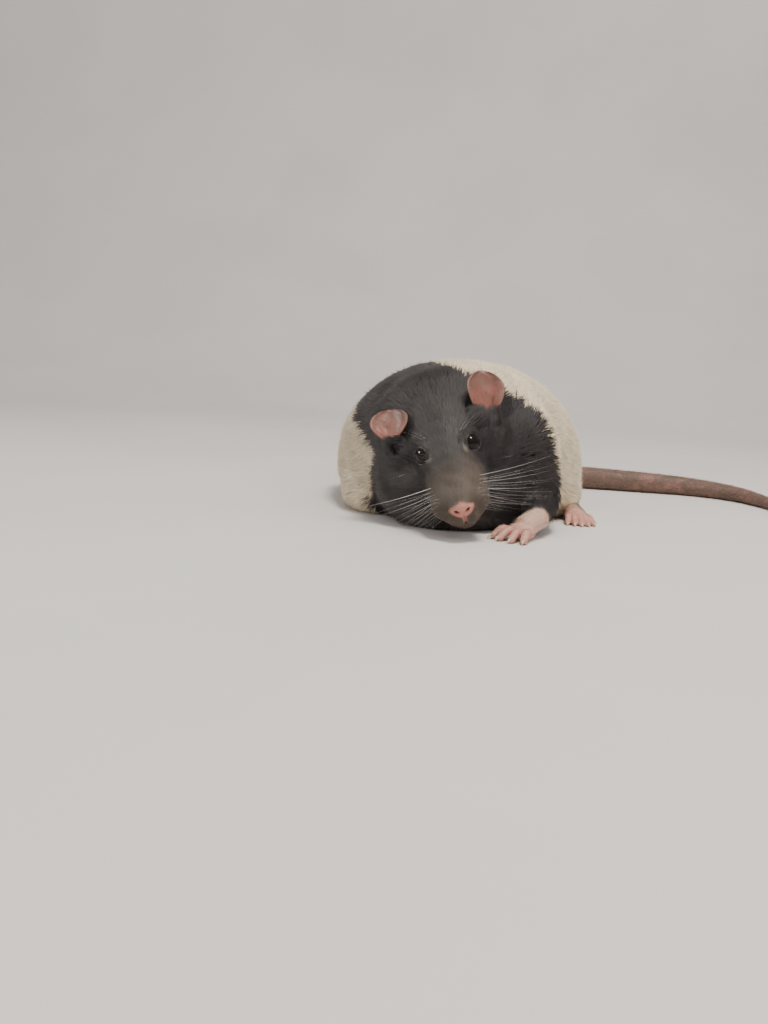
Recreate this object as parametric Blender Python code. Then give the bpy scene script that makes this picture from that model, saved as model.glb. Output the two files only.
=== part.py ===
"""A hooded pet rat at rest on its belly, its head lowered and turned a little, as a life-size museum model.

The rat faces -Y, its left side is +X and it rests on the plane Z = 0. The origin is on that plane,
under the middle of the belly. Sizes in the tables are millimetres; MM turns them into metres where a
shape is made. The surface is the outer face of the coat, and the pieces are parted by thin seams.
"""

import math

import bmesh
import bpy
import numpy as np
from mathutils import Euler, Matrix, Vector
from mathutils.bvhtree import BVHTree

MM = 0.001
SEAM = 0.3
FLOOR_DEPTH = 12.0

# Where the middle between the eyes lies, and how the head is turned there.
EYES_MIDDLE = (-12.7, -76.5, 29.4)
HEAD_YAW = math.radians(-3.5)
HEAD_ROLL = math.radians(-18.5)
HEAD_PITCH = math.radians(24)

# The torso: y, middle x, half width, top, height of the widest place, bottom.
TORSO = (
    (77.0, 2.0, 6.0, 18.0, 11.0, 4.0),
    (72.5, 1.5, 19.0, 29.0, 12.0, -1.0),
    (64.0, 0.5, 31.0, 41.0, 13.0, -3.0),
    (50.0, -1.0, 42.5, 52.0, 14.0, -4.0),
    (31.0, -2.0, 50.5, 59.5, 15.0, -4.0),
    (10.0, -2.5, 53.0, 62.0, 16.0, -4.0),
    (-11.0, -3.0, 51.0, 62.0, 17.0, -4.0),
    (-29.0, -3.0, 44.5, 61.0, 20.0, -4.0),
    (-45.0, -4.5, 37.5, 59.0, 23.0, -3.0),
    (-57.0, -7.0, 31.5, 52.0, 22.0, -2.0),
    (-67.0, -9.0, 25.0, 38.0, 18.0, -1.0),
    (-75.0, -10.0, 12.0, 24.0, 13.0, 3.0),
)
TORSO_TOP_SHAPE = 2.1
TORSO_BELLY_SHAPE = 2.7

# The head in its own frame, with the eyes' middle at the origin and the nose towards -y:
# y, half width, top, height of the widest place, bottom.
HEAD = (
    (-27.4, 2.4, -6.0, -8.4, -11.4),
    (-25.4, 5.2, -4.2, -9.4, -15.2),
    (-22.0, 8.2, -2.2, -10.2, -17.8),
    (-17.0, 9.8, 0.2, -10.4, -19.2),
    (-11.0, 10.6, 3.0, -10.0, -20.0),
    (-5.0, 11.6, 5.6, -9.2, -20.6),
    (1.0, 13.4, 8.2, -8.2, -21.2),
    (9.0, 16.6, 11.0, -7.2, -22.0),
    (17.0, 19.2, 13.0, -5.6, -22.2),
    (25.0, 20.6, 13.6, -4.4, -21.6),
    (33.0, 19.0, 12.0, -4.0, -19.0),
)
HEAD_TOP_SHAPE = 1.9
HEAD_JAW_SHAPE = 2.1

EYE_CENTRE = (8.0, -1.4, 1.2)
EYE_RADIUS = 3.6
EYE_LOOK = (0.66, -0.62, 0.42)
LID_THICK = 0.8
LID_HALF_LENGTH = 3.25
LID_HALF_HEIGHT = 2.85

# Each ear is a cupped leaf: where its root is, which way it stands, which way its cup looks, its size,
# and the share of its full width that it has at its root.
EAR_THICK = 1.0
EAR_CURL = (1.6, 0.9)
EAR_SWELLING = (15.5, 9.5, -3.4)
EAR_SWELLING_RADII = (6.0, 8.5, 7.0)
LEFT_EAR = {
    "root": (15.4, 15.6, 3.4), "up": (0.28, 0.42, 0.86), "open": (0.25, -0.95, 0.20),
    "height": 14.6, "half_width": 8.8, "base_share": 0.72,
}
RIGHT_EAR = {
    "root": (18.8, 12.2, 2.8), "up": (-0.20, 0.58, 0.79), "open": (0.20, -0.85, 0.45),
    "height": 12.2, "half_width": 8.9, "base_share": 0.42,
}

# The tail's middle line on the floor, from inside the rump to the tip, with its radius.
TAIL_ROUTE = (
    (2.0, 62.0, 13.0, 5.8),
    (6.0, 76.0, 10.0, 6.4),
    (22.0, 87.5, 6.8, 6.2),
    (46.0, 90.0, 5.8, 5.9),
    (72.0, 87.0, 5.5, 5.6),
    (98.0, 82.5, 5.1, 5.2),
    (121.0, 77.5, 4.5, 4.6),
    (138.5, 64.0, 3.7, 3.8),
    (146.0, 43.0, 2.8, 2.9),
    (147.0, 22.0, 2.0, 2.1),
    (143.5, 4.0, 1.3, 1.4),
    (140.0, -5.0, 0.9, 0.9),
)
TAIL_PARTS = (
    ("tail_root", 0.00, 0.30),
    ("tail_near", 0.30, 0.55),
    ("tail_far", 0.55, 0.78),
    ("tail_tip", 0.78, 1.00),
)


def clear_scene():
    """Start from nothing."""
    for thing in list(bpy.data.objects):
        bpy.data.objects.remove(thing)


def material(name, colour, roughness):
    """A plain finish for one kind of surface."""
    made = bpy.data.materials.new(name)
    made.use_nodes = True
    shader = made.node_tree.nodes["Principled BSDF"]
    shader.inputs["Base Color"].default_value = (*colour, 1.0)
    shader.inputs["Roughness"].default_value = roughness
    shader.inputs["Metallic"].default_value = 0.0
    return made


def add_object(name, mesh):
    """Put a mesh into the scene under this name."""
    made = bpy.data.objects.new(name, mesh)
    bpy.context.scene.collection.objects.link(made)
    return made


def millimetres(points):
    """Turn a list of points in millimetres into vectors in metres."""
    return [Vector(point) * MM for point in points]


def smooth_rows(table, steps):
    """Rows read at even steps from a smooth curve through the table's rows."""
    rows = np.array(table, float)
    padded = np.vstack([2 * rows[0] - rows[1], rows, 2 * rows[-1] - rows[-2]])
    found = []
    for place in np.linspace(0, len(rows) - 1, steps):
        i = min(int(place), len(rows) - 2)
        t = place - i
        a, b, c, d = padded[i : i + 4]
        bend = (2 * a - 5 * b + 4 * c - d) * t * t + (3 * b - a - 3 * c + d) * t**3
        found.append(0.5 * (2 * b + (c - a) * t + bend))
    return np.array(found)


def section(y, middle_x, half_width, top, widest, bottom, shapes, around):
    """One upright ring of points, rounder or squarer above and below its widest place."""
    ring = []
    for k in range(around):
        angle = 2 * math.pi * k / around
        across, up = math.cos(angle), math.sin(angle)
        shape = shapes[0] if up >= 0 else shapes[1]
        height = (top - widest) if up >= 0 else (widest - bottom)
        x = middle_x + half_width * math.copysign(abs(across) ** (2 / shape), across)
        z = widest + height * math.copysign(abs(up) ** (2 / shape), up)
        ring.append((x, y, z))
    return ring


def loft(name, rings):
    """A closed skin through rings of points in metres, with a flat end at each side."""
    mesh = bpy.data.meshes.new(name)
    shape = bmesh.new()
    loops = [[shape.verts.new(point) for point in ring] for ring in rings]
    count = len(loops[0])
    for near, far in zip(loops, loops[1:]):
        for k in range(count):
            after = (k + 1) % count
            shape.faces.new((near[k], near[after], far[after], far[k]))
    shape.faces.new(loops[0])
    shape.faces.new(loops[-1])
    bmesh.ops.recalc_face_normals(shape, faces=shape.faces)
    bmesh.ops.triangulate(shape, faces=[f for f in shape.faces if len(f.verts) > 4])
    shape.to_mesh(mesh)
    shape.free()
    return add_object(name, mesh)


def ellipsoid(name, centre, radii, turn=(0, 0, 0), detail=(24, 14)):
    """A ball stretched to three radii, turned by degrees about X, Y and Z."""
    mesh = bpy.data.meshes.new(name)
    shape = bmesh.new()
    bmesh.ops.create_uvsphere(shape, u_segments=detail[0], v_segments=detail[1], radius=1.0)
    stretch = Matrix.Diagonal((*(Vector(radii) * MM), 1.0))
    spin = Euler([math.radians(a) for a in turn]).to_matrix().to_4x4()
    shape.transform(Matrix.Translation(Vector(centre) * MM) @ spin @ stretch)
    shape.to_mesh(mesh)
    shape.free()
    return add_object(name, mesh)


def limb(name, points, radii, sides=12, steps=12, flatten=1.0):
    """A tapered tube with rounded ends along a smooth route; flatten squeezes it upright."""
    table = [(*p, r) for p, r in zip(points, radii)]
    route = [(Vector(row[:3]), float(row[3])) for row in smooth_rows(table, steps)]
    first_out = (route[0][0] - route[1][0]).normalized()
    last_out = (route[-1][0] - route[-2][0]).normalized()
    first = (route[0][0] + first_out * route[0][1] * 0.6, route[0][1] * 0.55)
    last = (route[-1][0] + last_out * route[-1][1] * 0.6, route[-1][1] * 0.55)
    spots = [first, *route, last]
    rings = []
    side = None
    for i, spot in enumerate(spots):
        before, after = spots[max(i - 1, 0)][0], spots[min(i + 1, len(spots) - 1)][0]
        along = (after - before).normalized()
        if side is None:
            side = along.cross(Vector((0, 0, 1)))
            side = side.normalized() if side.length > 0.1 else Vector((1, 0, 0))
        side = (side - along * side.dot(along)).normalized()
        up = side.cross(along)
        ring = []
        for k in range(sides):
            angle = 2 * math.pi * k / sides
            out = side * math.cos(angle) + up * (math.sin(angle) * flatten)
            ring.append((spot[0] + out * spot[1]) * MM)
        rings.append(ring)
    return loft(name, rings)


def apply_modifiers(thing):
    """Keep what the modifiers make as the object's own mesh."""
    graph = bpy.context.evaluated_depsgraph_get()
    made = bpy.data.meshes.new_from_object(thing.evaluated_get(graph))
    thing.modifiers.clear()
    thing.data = made
    return thing


def remove(*things):
    """Take helper objects out of the scene."""
    for thing in things:
        bpy.data.objects.remove(thing)


def combine(thing, others, operation, solver="EXACT"):
    """Join other closed pieces to this one or cut them out of it, and drop them."""
    for other in others:
        step = thing.modifiers.new(operation.title(), "BOOLEAN")
        step.operation = operation
        step.solver = solver
        step.object = other
        apply_modifiers(thing)
    remove(*others)
    return thing


def transform(thing, matrix):
    """Move a piece's own points, so that its place is in its mesh."""
    thing.data.transform(matrix)
    thing.data.update()
    return thing


def head_frame():
    """The matrix that carries the head's own frame to its place on the body."""
    turn = (
        Matrix.Rotation(HEAD_YAW, 4, "Z")
        @ Matrix.Rotation(HEAD_ROLL, 4, "Y")
        @ Matrix.Rotation(HEAD_PITCH, 4, "X")
    )
    return Matrix.Translation(Vector(EYES_MIDDLE) * MM) @ turn


def head_point(point, side=1):
    """A point of the head's own frame, in millimetres of the body's frame; side -1 mirrors it."""
    local = Vector((point[0] * side, point[1], point[2])) * MM
    return (head_frame() @ local) / MM


def head_direction(direction, side=1):
    """A direction of the head's own frame, in the body's frame."""
    local = Vector((direction[0] * side, direction[1], direction[2]))
    return (head_frame().to_3x3() @ local).normalized()


def torso_pieces():
    """The trunk with its haunches, shoulders, neck and chest."""
    shapes = (TORSO_TOP_SHAPE, TORSO_BELLY_SHAPE)
    rings = [millimetres(section(*row, shapes, 48)) for row in smooth_rows(TORSO, 40)]
    pieces = [loft("trunk", rings)]
    for side in (1, -1):
        pieces.append(ellipsoid("haunch", (33 * side - 2, 26, 22), (20.5, 30, 24), (-8, 0, 10 * side)))
        pieces.append(ellipsoid("shoulder", (20 * side - 4, -46, 24), (17, 22, 25), (12, 0, 0)))
    pieces.append(ellipsoid("neck", (-10, -48, 33), (25.5, 22, 23), (-20, -8, 0)))
    pieces.append(ellipsoid("nape", (-9, -42, 39), (30, 25, 21), (-6, -4, 0)))
    pieces.append(ellipsoid("chest", (-9, -57, 14), (29, 23, 19)))
    pieces.append(ellipsoid("right_knee", (-35, -20, 9), (18, 28, 15)))
    pieces.append(ellipsoid("left_knee", (33, -9, 10), (15.5, 26, 14)))
    return pieces


def head_pieces():
    """The skull's form, cheeks, brows, whisker pads, lips, nose and jaw, made in the head's frame."""
    shapes = (HEAD_TOP_SHAPE, HEAD_JAW_SHAPE)
    rings = [millimetres(section(row[0], 0.0, *row[1:], shapes, 40)) for row in smooth_rows(HEAD, 36)]
    pieces = [loft("skull", rings)]
    lid = EYE_RADIUS + SEAM + LID_THICK
    for side in (1, -1):
        eye = (EYE_CENTRE[0] * side, EYE_CENTRE[1], EYE_CENTRE[2])
        swelling = (EAR_SWELLING[0] * side, EAR_SWELLING[1], EAR_SWELLING[2])
        pieces.append(ellipsoid("ear_swelling", swelling, EAR_SWELLING_RADII))
        pieces.append(ellipsoid("cheek", (11.5 * side, 10, -9.5), (7.5, 12, 9.5), (0, 0, 8 * side)))
        pieces.append(ellipsoid("brow", (6.9 * side, 1.6, 1.4), (4.2, 6.6, 4.6), (0, 18 * side, 0)))
        pieces.append(ellipsoid("lids", eye, (lid, lid, lid)))
        pieces.append(ellipsoid("whisker_pad", (5.2 * side, -18.6, -9.8), (5.3, 6.8, 5.4)))
        pieces.append(ellipsoid("upper_lip", (2.8 * side, -23.4, -12.8), (3.3, 3.4, 3.6)))
    pieces.append(ellipsoid("nose_pad", (0, -26.9, -7.8), (3.1, 2.3, 2.5)))
    pieces.append(ellipsoid("jaw", (0, -18.2, -17.0), (4.8, 6.4, 3.4), (-8, 0, 0)))
    frame = head_frame()
    return [transform(piece, frame) for piece in pieces]


LEFT_ARM = ((22, -46, 20), (24.5, -60, 12), (19.5, -76.5, 6.6))
RIGHT_ARM = ((-29, -17, 20), (-31, -34, 14), (-24.5, -47, 6.8))
LEFT_SHANK = ((34, 22, 20), (41, 2, 11), (41.5, -14, 6.0))
RIGHT_SHANK = ((-36, 34, 20), (-39, 19, 11), (-36.5, 7, 6.0))


def leg_pieces(grow=0.0):
    """The upper arm and forearm down to each wrist, and the lower leg down to each ankle."""
    arm = (12 + grow, 8 + grow, 5.0 + grow)
    shank = (15 + grow, 9 + grow, 5.0 + grow)
    return {
        "foreleg_left": limb("left_arm", LEFT_ARM, arm, 12, 8),
        "foreleg_right": limb("right_arm", RIGHT_ARM, arm, 12, 8),
        "hindleg_left": limb("left_shank", LEFT_SHANK, shank, 12, 8),
        "hindleg_right": limb("right_shank", RIGHT_SHANK, shank, 12, 8),
    }


def keep_detail(thing, near, far, least):
    """A vertex group that is 1 on the body and falls to its least on the face."""
    group = thing.vertex_groups.new(name="body")
    middle = head_point((0, -12, -5)) * MM
    for vertex in thing.data.vertices:
        away = (vertex.co - middle).length / MM
        weight = least + (1 - least) * min(1.0, max(0.0, (away - near) / (far - near)))
        group.add([vertex.index], weight, "REPLACE")


def fuse(name, pieces, voxel):
    """Melt overlapping closed pieces into one skin."""
    joined = bmesh.new()
    for piece in pieces:
        joined.from_mesh(piece.data)
    mesh = bpy.data.meshes.new(name)
    joined.to_mesh(mesh)
    joined.free()
    remove(*pieces)
    made = add_object(name, mesh)
    step = made.modifiers.new("Fuse", "REMESH")
    step.mode = "VOXEL"
    step.voxel_size = voxel * MM
    return apply_modifiers(made)


def ease_ear_roots(thing):
    """Melt the swellings under the ears into the sides of the head."""
    group = thing.vertex_groups.new(name="ear_roots")
    spots = [head_point(EAR_SWELLING, side) * MM for side in (1, -1)]
    for vertex in thing.data.vertices:
        away = min((vertex.co - spot).length for spot in spots) / MM
        if away < 12:
            group.add([vertex.index], min(1.0, (12 - away) / 4), "REPLACE")
    ease = thing.modifiers.new("Ease", "SMOOTH")
    ease.vertex_group = "ear_roots"
    ease.factor = 0.5
    ease.iterations = 36


def whole_body():
    """Everything of flesh down to the wrists and ankles, fused and smoothed as one body."""
    pieces = torso_pieces() + head_pieces() + list(leg_pieces().values())
    pieces.append(limb("tail_stump", ((3, 50, 16), (4, 70, 11.5), (12, 81, 8.0)), (16, 11, 7.2)))
    body = fuse("body", pieces, 0.7)
    keep_detail(body, 24, 46, 0.03)
    relax = body.modifiers.new("Relax", "SMOOTH")
    relax.vertex_group = "body"
    relax.factor = 0.5
    relax.iterations = 60
    ease_ear_roots(body)
    soften = body.modifiers.new("Soften", "SMOOTH")
    soften.iterations = 2
    return apply_modifiers(body)


def thin_out(thing, triangles):
    """Fewer faces on a smooth skin."""
    thing.data.calc_loop_triangles()
    thin = thing.modifiers.new("Thin", "DECIMATE")
    thin.ratio = min(1.0, triangles / len(thing.data.loop_triangles))
    return apply_modifiers(thing)


def copy_of(thing, name):
    """A second object with its own copy of the mesh."""
    return add_object(name, thing.data.copy())


def grown(thing, name, distance):
    """A copy pushed outwards by a distance in millimetres."""
    made = copy_of(thing, name)
    push = made.modifiers.new("Push", "DISPLACE")
    push.strength = distance * MM
    push.mid_level = 0.0
    return apply_modifiers(made)


def box(name, low, high):
    """An upright box between two corners in millimetres."""
    mesh = bpy.data.meshes.new(name)
    shape = bmesh.new()
    bmesh.ops.create_cube(shape, size=1.0)
    low, high = Vector(low) * MM, Vector(high) * MM
    shape.transform(Matrix.Translation((low + high) / 2) @ Matrix.Diagonal((*(high - low), 1.0)))
    shape.to_mesh(mesh)
    shape.free()
    return add_object(name, mesh)


def on_floor(thing):
    """Cut a piece flat where it stands on the floor."""
    ground = box("ground", (-120, -140, -FLOOR_DEPTH * 3), (200, 140, 0))
    return combine(thing, [ground], "DIFFERENCE")


def keep_largest(thing):
    """Drop crumbs that a cut has left beside the main body."""
    shape = bmesh.new()
    shape.from_mesh(thing.data)
    left = set(shape.verts)
    islands = []
    while left:
        start = left.pop()
        island, stack = {start}, [start]
        while stack:
            for edge in stack.pop().link_edges:
                for vertex in edge.verts:
                    if vertex in left:
                        left.discard(vertex)
                        island.add(vertex)
                        stack.append(vertex)
        islands.append(island)
    islands.sort(key=len)
    crumbs = [v for island in islands[:-1] for v in island]
    bmesh.ops.delete(shape, geom=crumbs, context="VERTS")
    shape.to_mesh(thing.data)
    shape.free()
    return thing


def part_off(rest, name, region, region_grown):
    """Take the part of a body inside a region as its own piece, and leave a thin seam around it."""
    piece = copy_of(rest, name)
    combine(piece, [region], "INTERSECT")
    combine(rest, [region_grown], "DIFFERENCE")
    keep_largest(rest)
    return keep_largest(piece)


def eye_axes(side):
    """Where one eye is, which way it looks and which way its lids run, in the body's frame."""
    centre = head_point(EYE_CENTRE, side)
    look = head_direction(EYE_LOOK, side)
    along = head_direction((0.30, 0.88, 0.30), side)
    along = (along - look * along.dot(look)).normalized()
    return centre, look, along


def eye_ball(name, side, radius):
    """The ball of one eye."""
    centre, look, along = eye_axes(side)
    return ellipsoid(name, centre, (radius, radius, radius), detail=(16, 10))


def lid_opening(side):
    """The almond between the lids, as a short prism that runs out from the ball's middle."""
    centre, look, along = eye_axes(side)
    across = look.cross(along)
    rings = []
    for far, share in ((0.0, 0.8), (3.0, 1.0), (9.0, 1.5)):
        ring = []
        for k in range(24):
            angle = 2 * math.pi * k / 24
            reach = math.cos(angle)
            rise = math.sin(angle) * (1 - 0.25 * abs(reach) ** 3)
            point = along * (reach * LID_HALF_LENGTH) + across * (rise * LID_HALF_HEIGHT)
            ring.append((centre + look * far + point * share) * MM)
        rings.append(ring)
    return loft("lid_opening", rings)


def groove(name, tree, points, radius):
    """A thin round groove along the nearest places of a skin to points of the head's frame."""
    spots = []
    for point in points:
        near = tree.find_nearest(head_point(point) * MM)[0]
        spots.append(tuple(near / MM))
    return limb(name, spots, [radius] * len(spots), sides=6, steps=2 * len(spots))


def face_cuts(body):
    """Cut the eyes' sockets, the lids' openings, the nostrils and the line of the mouth."""
    tree = BVHTree.FromObject(body, bpy.context.evaluated_depsgraph_get())
    cutters = []
    for side in (1, -1):
        cutters.append(eye_ball("socket", side, EYE_RADIUS + SEAM))
        cutters.append(lid_opening(side))
        nostril = head_point((1.75, -29.0, -8.3), side)
        turn = [math.degrees(a) for a in head_frame().to_euler()]
        cutters.append(ellipsoid("nostril", nostril, (0.62, 1.3, 0.5), turn, (12, 8)))
    mouth = ((-7.4, -14, -18.0), (-5.6, -19, -17.4), (-3.0, -23.6, -16.8), (0, -25.4, -15.4))
    mouth += ((3.0, -23.6, -16.8), (5.6, -19, -17.4), (7.4, -14, -18.0))
    cutters.append(groove("mouth", tree, mouth, 0.55))
    cutters.append(groove("lip_parting", tree, ((0, -28, -10.4), (0, -27, -12.2), (0, -25.8, -14.0)), 0.4))
    return combine(body, cutters, "DIFFERENCE")


def ear(name, side, place, grow=0.0):
    """One cupped ear: a rolled funnel at its root that opens into a thin round leaf."""
    root = head_point(place["root"], side)
    up = head_direction(place["up"], side)
    looks = head_direction(place["open"], side)
    looks = (looks - up * looks.dot(up)).normalized()
    across = up.cross(looks)
    base = place["base_share"]
    rows, columns = 11, 13
    outer, inner = [], []
    for i in range(rows):
        v = -0.16 + 1.16 * i / (rows - 1)
        t = max(v, 0.0)
        if t < 0.5:
            share = base + (1 - base) * math.sin(math.pi * t)
        else:
            share = math.sqrt(max(0.03, 1 - ((t - 0.5) / 0.505) ** 2))
        half = place["half_width"] * share
        curl = EAR_CURL[0] + (EAR_CURL[1] - EAR_CURL[0]) * min(1.0, t * 1.3)
        radius = half / curl
        lean = 2.2 * t * t
        row_out, row_in = [], []
        for j in range(columns):
            theta = curl * (2 * j / (columns - 1) - 1)
            inwards = looks * math.cos(theta) - across * math.sin(theta)
            point = root + up * (v * place["height"]) - looks * lean
            point = point + across * (radius * math.sin(theta)) + looks * (radius * (1 - math.cos(theta)))
            thick = EAR_THICK * (1.25 - 0.5 * t)
            row_out.append((point - inwards * grow) * MM)
            row_in.append((point + inwards * (min(thick, radius * 0.7) + grow)) * MM)
        outer.append(row_out)
        inner.append(row_in)
    mesh = bpy.data.meshes.new(name)
    shape = bmesh.new()
    out_v = [[shape.verts.new(p) for p in row] for row in outer]
    in_v = [[shape.verts.new(p) for p in row] for row in inner]
    for i in range(rows - 1):
        for j in range(columns - 1):
            shape.faces.new((out_v[i][j], out_v[i][j + 1], out_v[i + 1][j + 1], out_v[i + 1][j]))
            shape.faces.new((in_v[i][j], in_v[i + 1][j], in_v[i + 1][j + 1], in_v[i][j + 1]))
        for j in (0, columns - 1):
            shape.faces.new((out_v[i][j], out_v[i + 1][j], in_v[i + 1][j], in_v[i][j]))
    for i in (0, rows - 1):
        for j in range(columns - 1):
            shape.faces.new((out_v[i][j], in_v[i][j], in_v[i][j + 1], out_v[i][j + 1]))
    bmesh.ops.recalc_face_normals(shape, faces=shape.faces)
    shape.to_mesh(mesh)
    shape.free()
    return add_object(name, mesh)


def forefoot(name, wrist, heading, grow=0.0):
    """A small hand on the floor: wrist, palm and four toes with claws; heading turns it about Z."""
    pieces = [
        limb("wrist", ((0, 4.5, 7.0), (0, 0, 6.0), (0, -4.5, 4.2)), (3.9, 4.0, 4.2), 12, 6),
        ellipsoid("palm", (0, -6.0, 3.1), (5.0, 5.2, 3.4), detail=(16, 10)),
    ]
    for x, fan, reach in ((-4.0, -26, 5.6), (-1.4, -9, 6.8), (1.4, 8, 6.8), (4.0, 25, 5.8)):
        turn = math.radians(fan)
        ahead = Vector((math.sin(turn), -math.cos(turn), 0))
        start = Vector((x, -8.0, 3.0))
        knuckle = start + ahead * (reach * 0.5) + Vector((0, 0, 0.2))
        tip = start + ahead * reach - Vector((0, 0, 1.6))
        claw_end = tip + ahead * 2.6 - Vector((0, 0, 0.9))
        pieces.append(limb("toe", (start, knuckle, tip), (1.75, 1.65, 1.35), 10, 6))
        pieces.append(limb("claw", (tip, (tip + claw_end) / 2 + Vector((0, 0, 0.4)), claw_end), (0.75, 0.62, 0.3), 8, 5))
    place = Matrix.Translation(Vector((wrist[0], wrist[1], 0)) * MM) @ Matrix.Rotation(math.radians(heading), 4, "Z")
    made = fuse(name, [transform(piece, place) for piece in pieces], 0.32)
    return finish_foot(made, grow, 360 if grow == 0 else 330)


def hindfoot(name, heel, heading, grow=0.0):
    """A long foot flat on the floor: heel, sole and five toes with claws."""
    pieces = [
        limb("heel", ((0, 2, 5.0), (0, -12, 3.9), (0, -24, 2.7)), (4.3, 3.7, 3.9), 14, 10, 0.85),
        ellipsoid("ball", (0, -24, 2.4), (4.7, 5.0, 2.7), detail=(16, 10)),
    ]
    toes = ((-3.4, -13, 6.6), (-1.7, -6, 8.4), (0, 0, 8.8), (1.7, 6, 8.4), (3.4, 13, 7.0))
    for x, fan, reach in toes:
        turn = math.radians(fan)
        ahead = Vector((math.sin(turn), -math.cos(turn), 0))
        start = Vector((x, -25.5, 2.3))
        knuckle = start + ahead * (reach * 0.5) + Vector((0, 0, 0.4))
        tip = start + ahead * reach - Vector((0, 0, 1.3))
        claw_end = tip + ahead * 2.8 - Vector((0, 0, 0.9))
        pieces.append(limb("toe", (start, knuckle, tip), (1.45, 1.3, 1.15), 10, 6))
        pieces.append(limb("claw", (tip, (tip + claw_end) / 2 + Vector((0, 0, 0.4)), claw_end), (0.72, 0.62, 0.32), 8, 5))
    place = Matrix.Translation(Vector((heel[0], heel[1], 0)) * MM) @ Matrix.Rotation(math.radians(heading), 4, "Z")
    made = fuse(name, [transform(piece, place) for piece in pieces], 0.36)
    return finish_foot(made, grow, 430 if grow == 0 else 330)


def finish_foot(foot, grow, triangles):
    """Round a fused foot off, thin it out and cut it flat on the floor."""
    round_off = foot.modifiers.new("Round", "SMOOTH")
    round_off.iterations = 3
    apply_modifiers(foot)
    if grow:
        bigger = grown(foot, foot.name + "_grown", grow)
        remove(foot)
        return thin_out(bigger, triangles)
    thin_out(foot, triangles)
    return on_floor(foot)


FEET = {
    "forefoot_left": (forefoot, (18.5, -79.0), -44),
    "forefoot_right": (forefoot, (-23.5, -47.0), 14),
    "hindfoot_left": (hindfoot, (41.5, -10.5), 2),
    "hindfoot_right": (hindfoot, (-36.0, 12.0), -5),
}


def tail_length(name, start, end, grow=0.0):
    """One length of the tail between two shares of its route."""
    rows = smooth_rows(TAIL_ROUTE, 221)
    runs = np.concatenate(([0], np.cumsum(np.linalg.norm(np.diff(rows[:, :3], axis=0), axis=1))))
    total = runs[-1]
    from_run = start * total + (SEAM / 2 if start > 0 else 0)
    to_run = end * total - (SEAM / 2 if end < 1 else 0)
    count = max(6, int((to_run - from_run) / 4.2))
    rings = []
    for run in np.linspace(from_run, to_run, count):
        row = [float(np.interp(run, runs, rows[:, k])) for k in range(4)]
        ahead = [float(np.interp(min(run + 0.5, total), runs, rows[:, k])) for k in range(3)]
        behind = [float(np.interp(max(run - 0.5, 0), runs, rows[:, k])) for k in range(3)]
        along = (Vector(ahead) - Vector(behind)).normalized()
        side = along.cross(Vector((0, 0, 1))).normalized()
        up = side.cross(along)
        centre = Vector(row[:3])
        radius = row[3] + grow
        ring = []
        for k in range(14):
            angle = 2 * math.pi * k / 14
            ring.append((centre + (side * math.cos(angle) + up * math.sin(angle)) * radius) * MM)
        rings.append(ring)
    return loft(name, rings)


def head_region(grow):
    """The space that the head takes from the body: an egg about the skull."""
    egg = ellipsoid("head_region", (0, 1, -5), (25.5 + grow, 34.5 + grow, 24 + grow), detail=(24, 14))
    return transform(egg, head_frame())


def thigh_region(side, shank, grow):
    """The space of one haunch and lower leg."""
    thigh = ellipsoid(
        "thigh", (37 * side - 2, 24, 19), (21 + grow, 31 + grow, 25 + grow), (-8, 0, 10 * side), (20, 12)
    )
    return combine(thigh, [shank], "UNION")


def neck_region(grow):
    """The space between the head and the trunk, bounded behind by a slanting plane."""
    block = box("neck_region", (-80, -80, -80), (80, grow, 80))
    place = Matrix.Translation(Vector((-8, -42, 36)) * MM) @ Matrix.Rotation(math.radians(-24), 4, "X")
    return transform(block, place)


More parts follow.
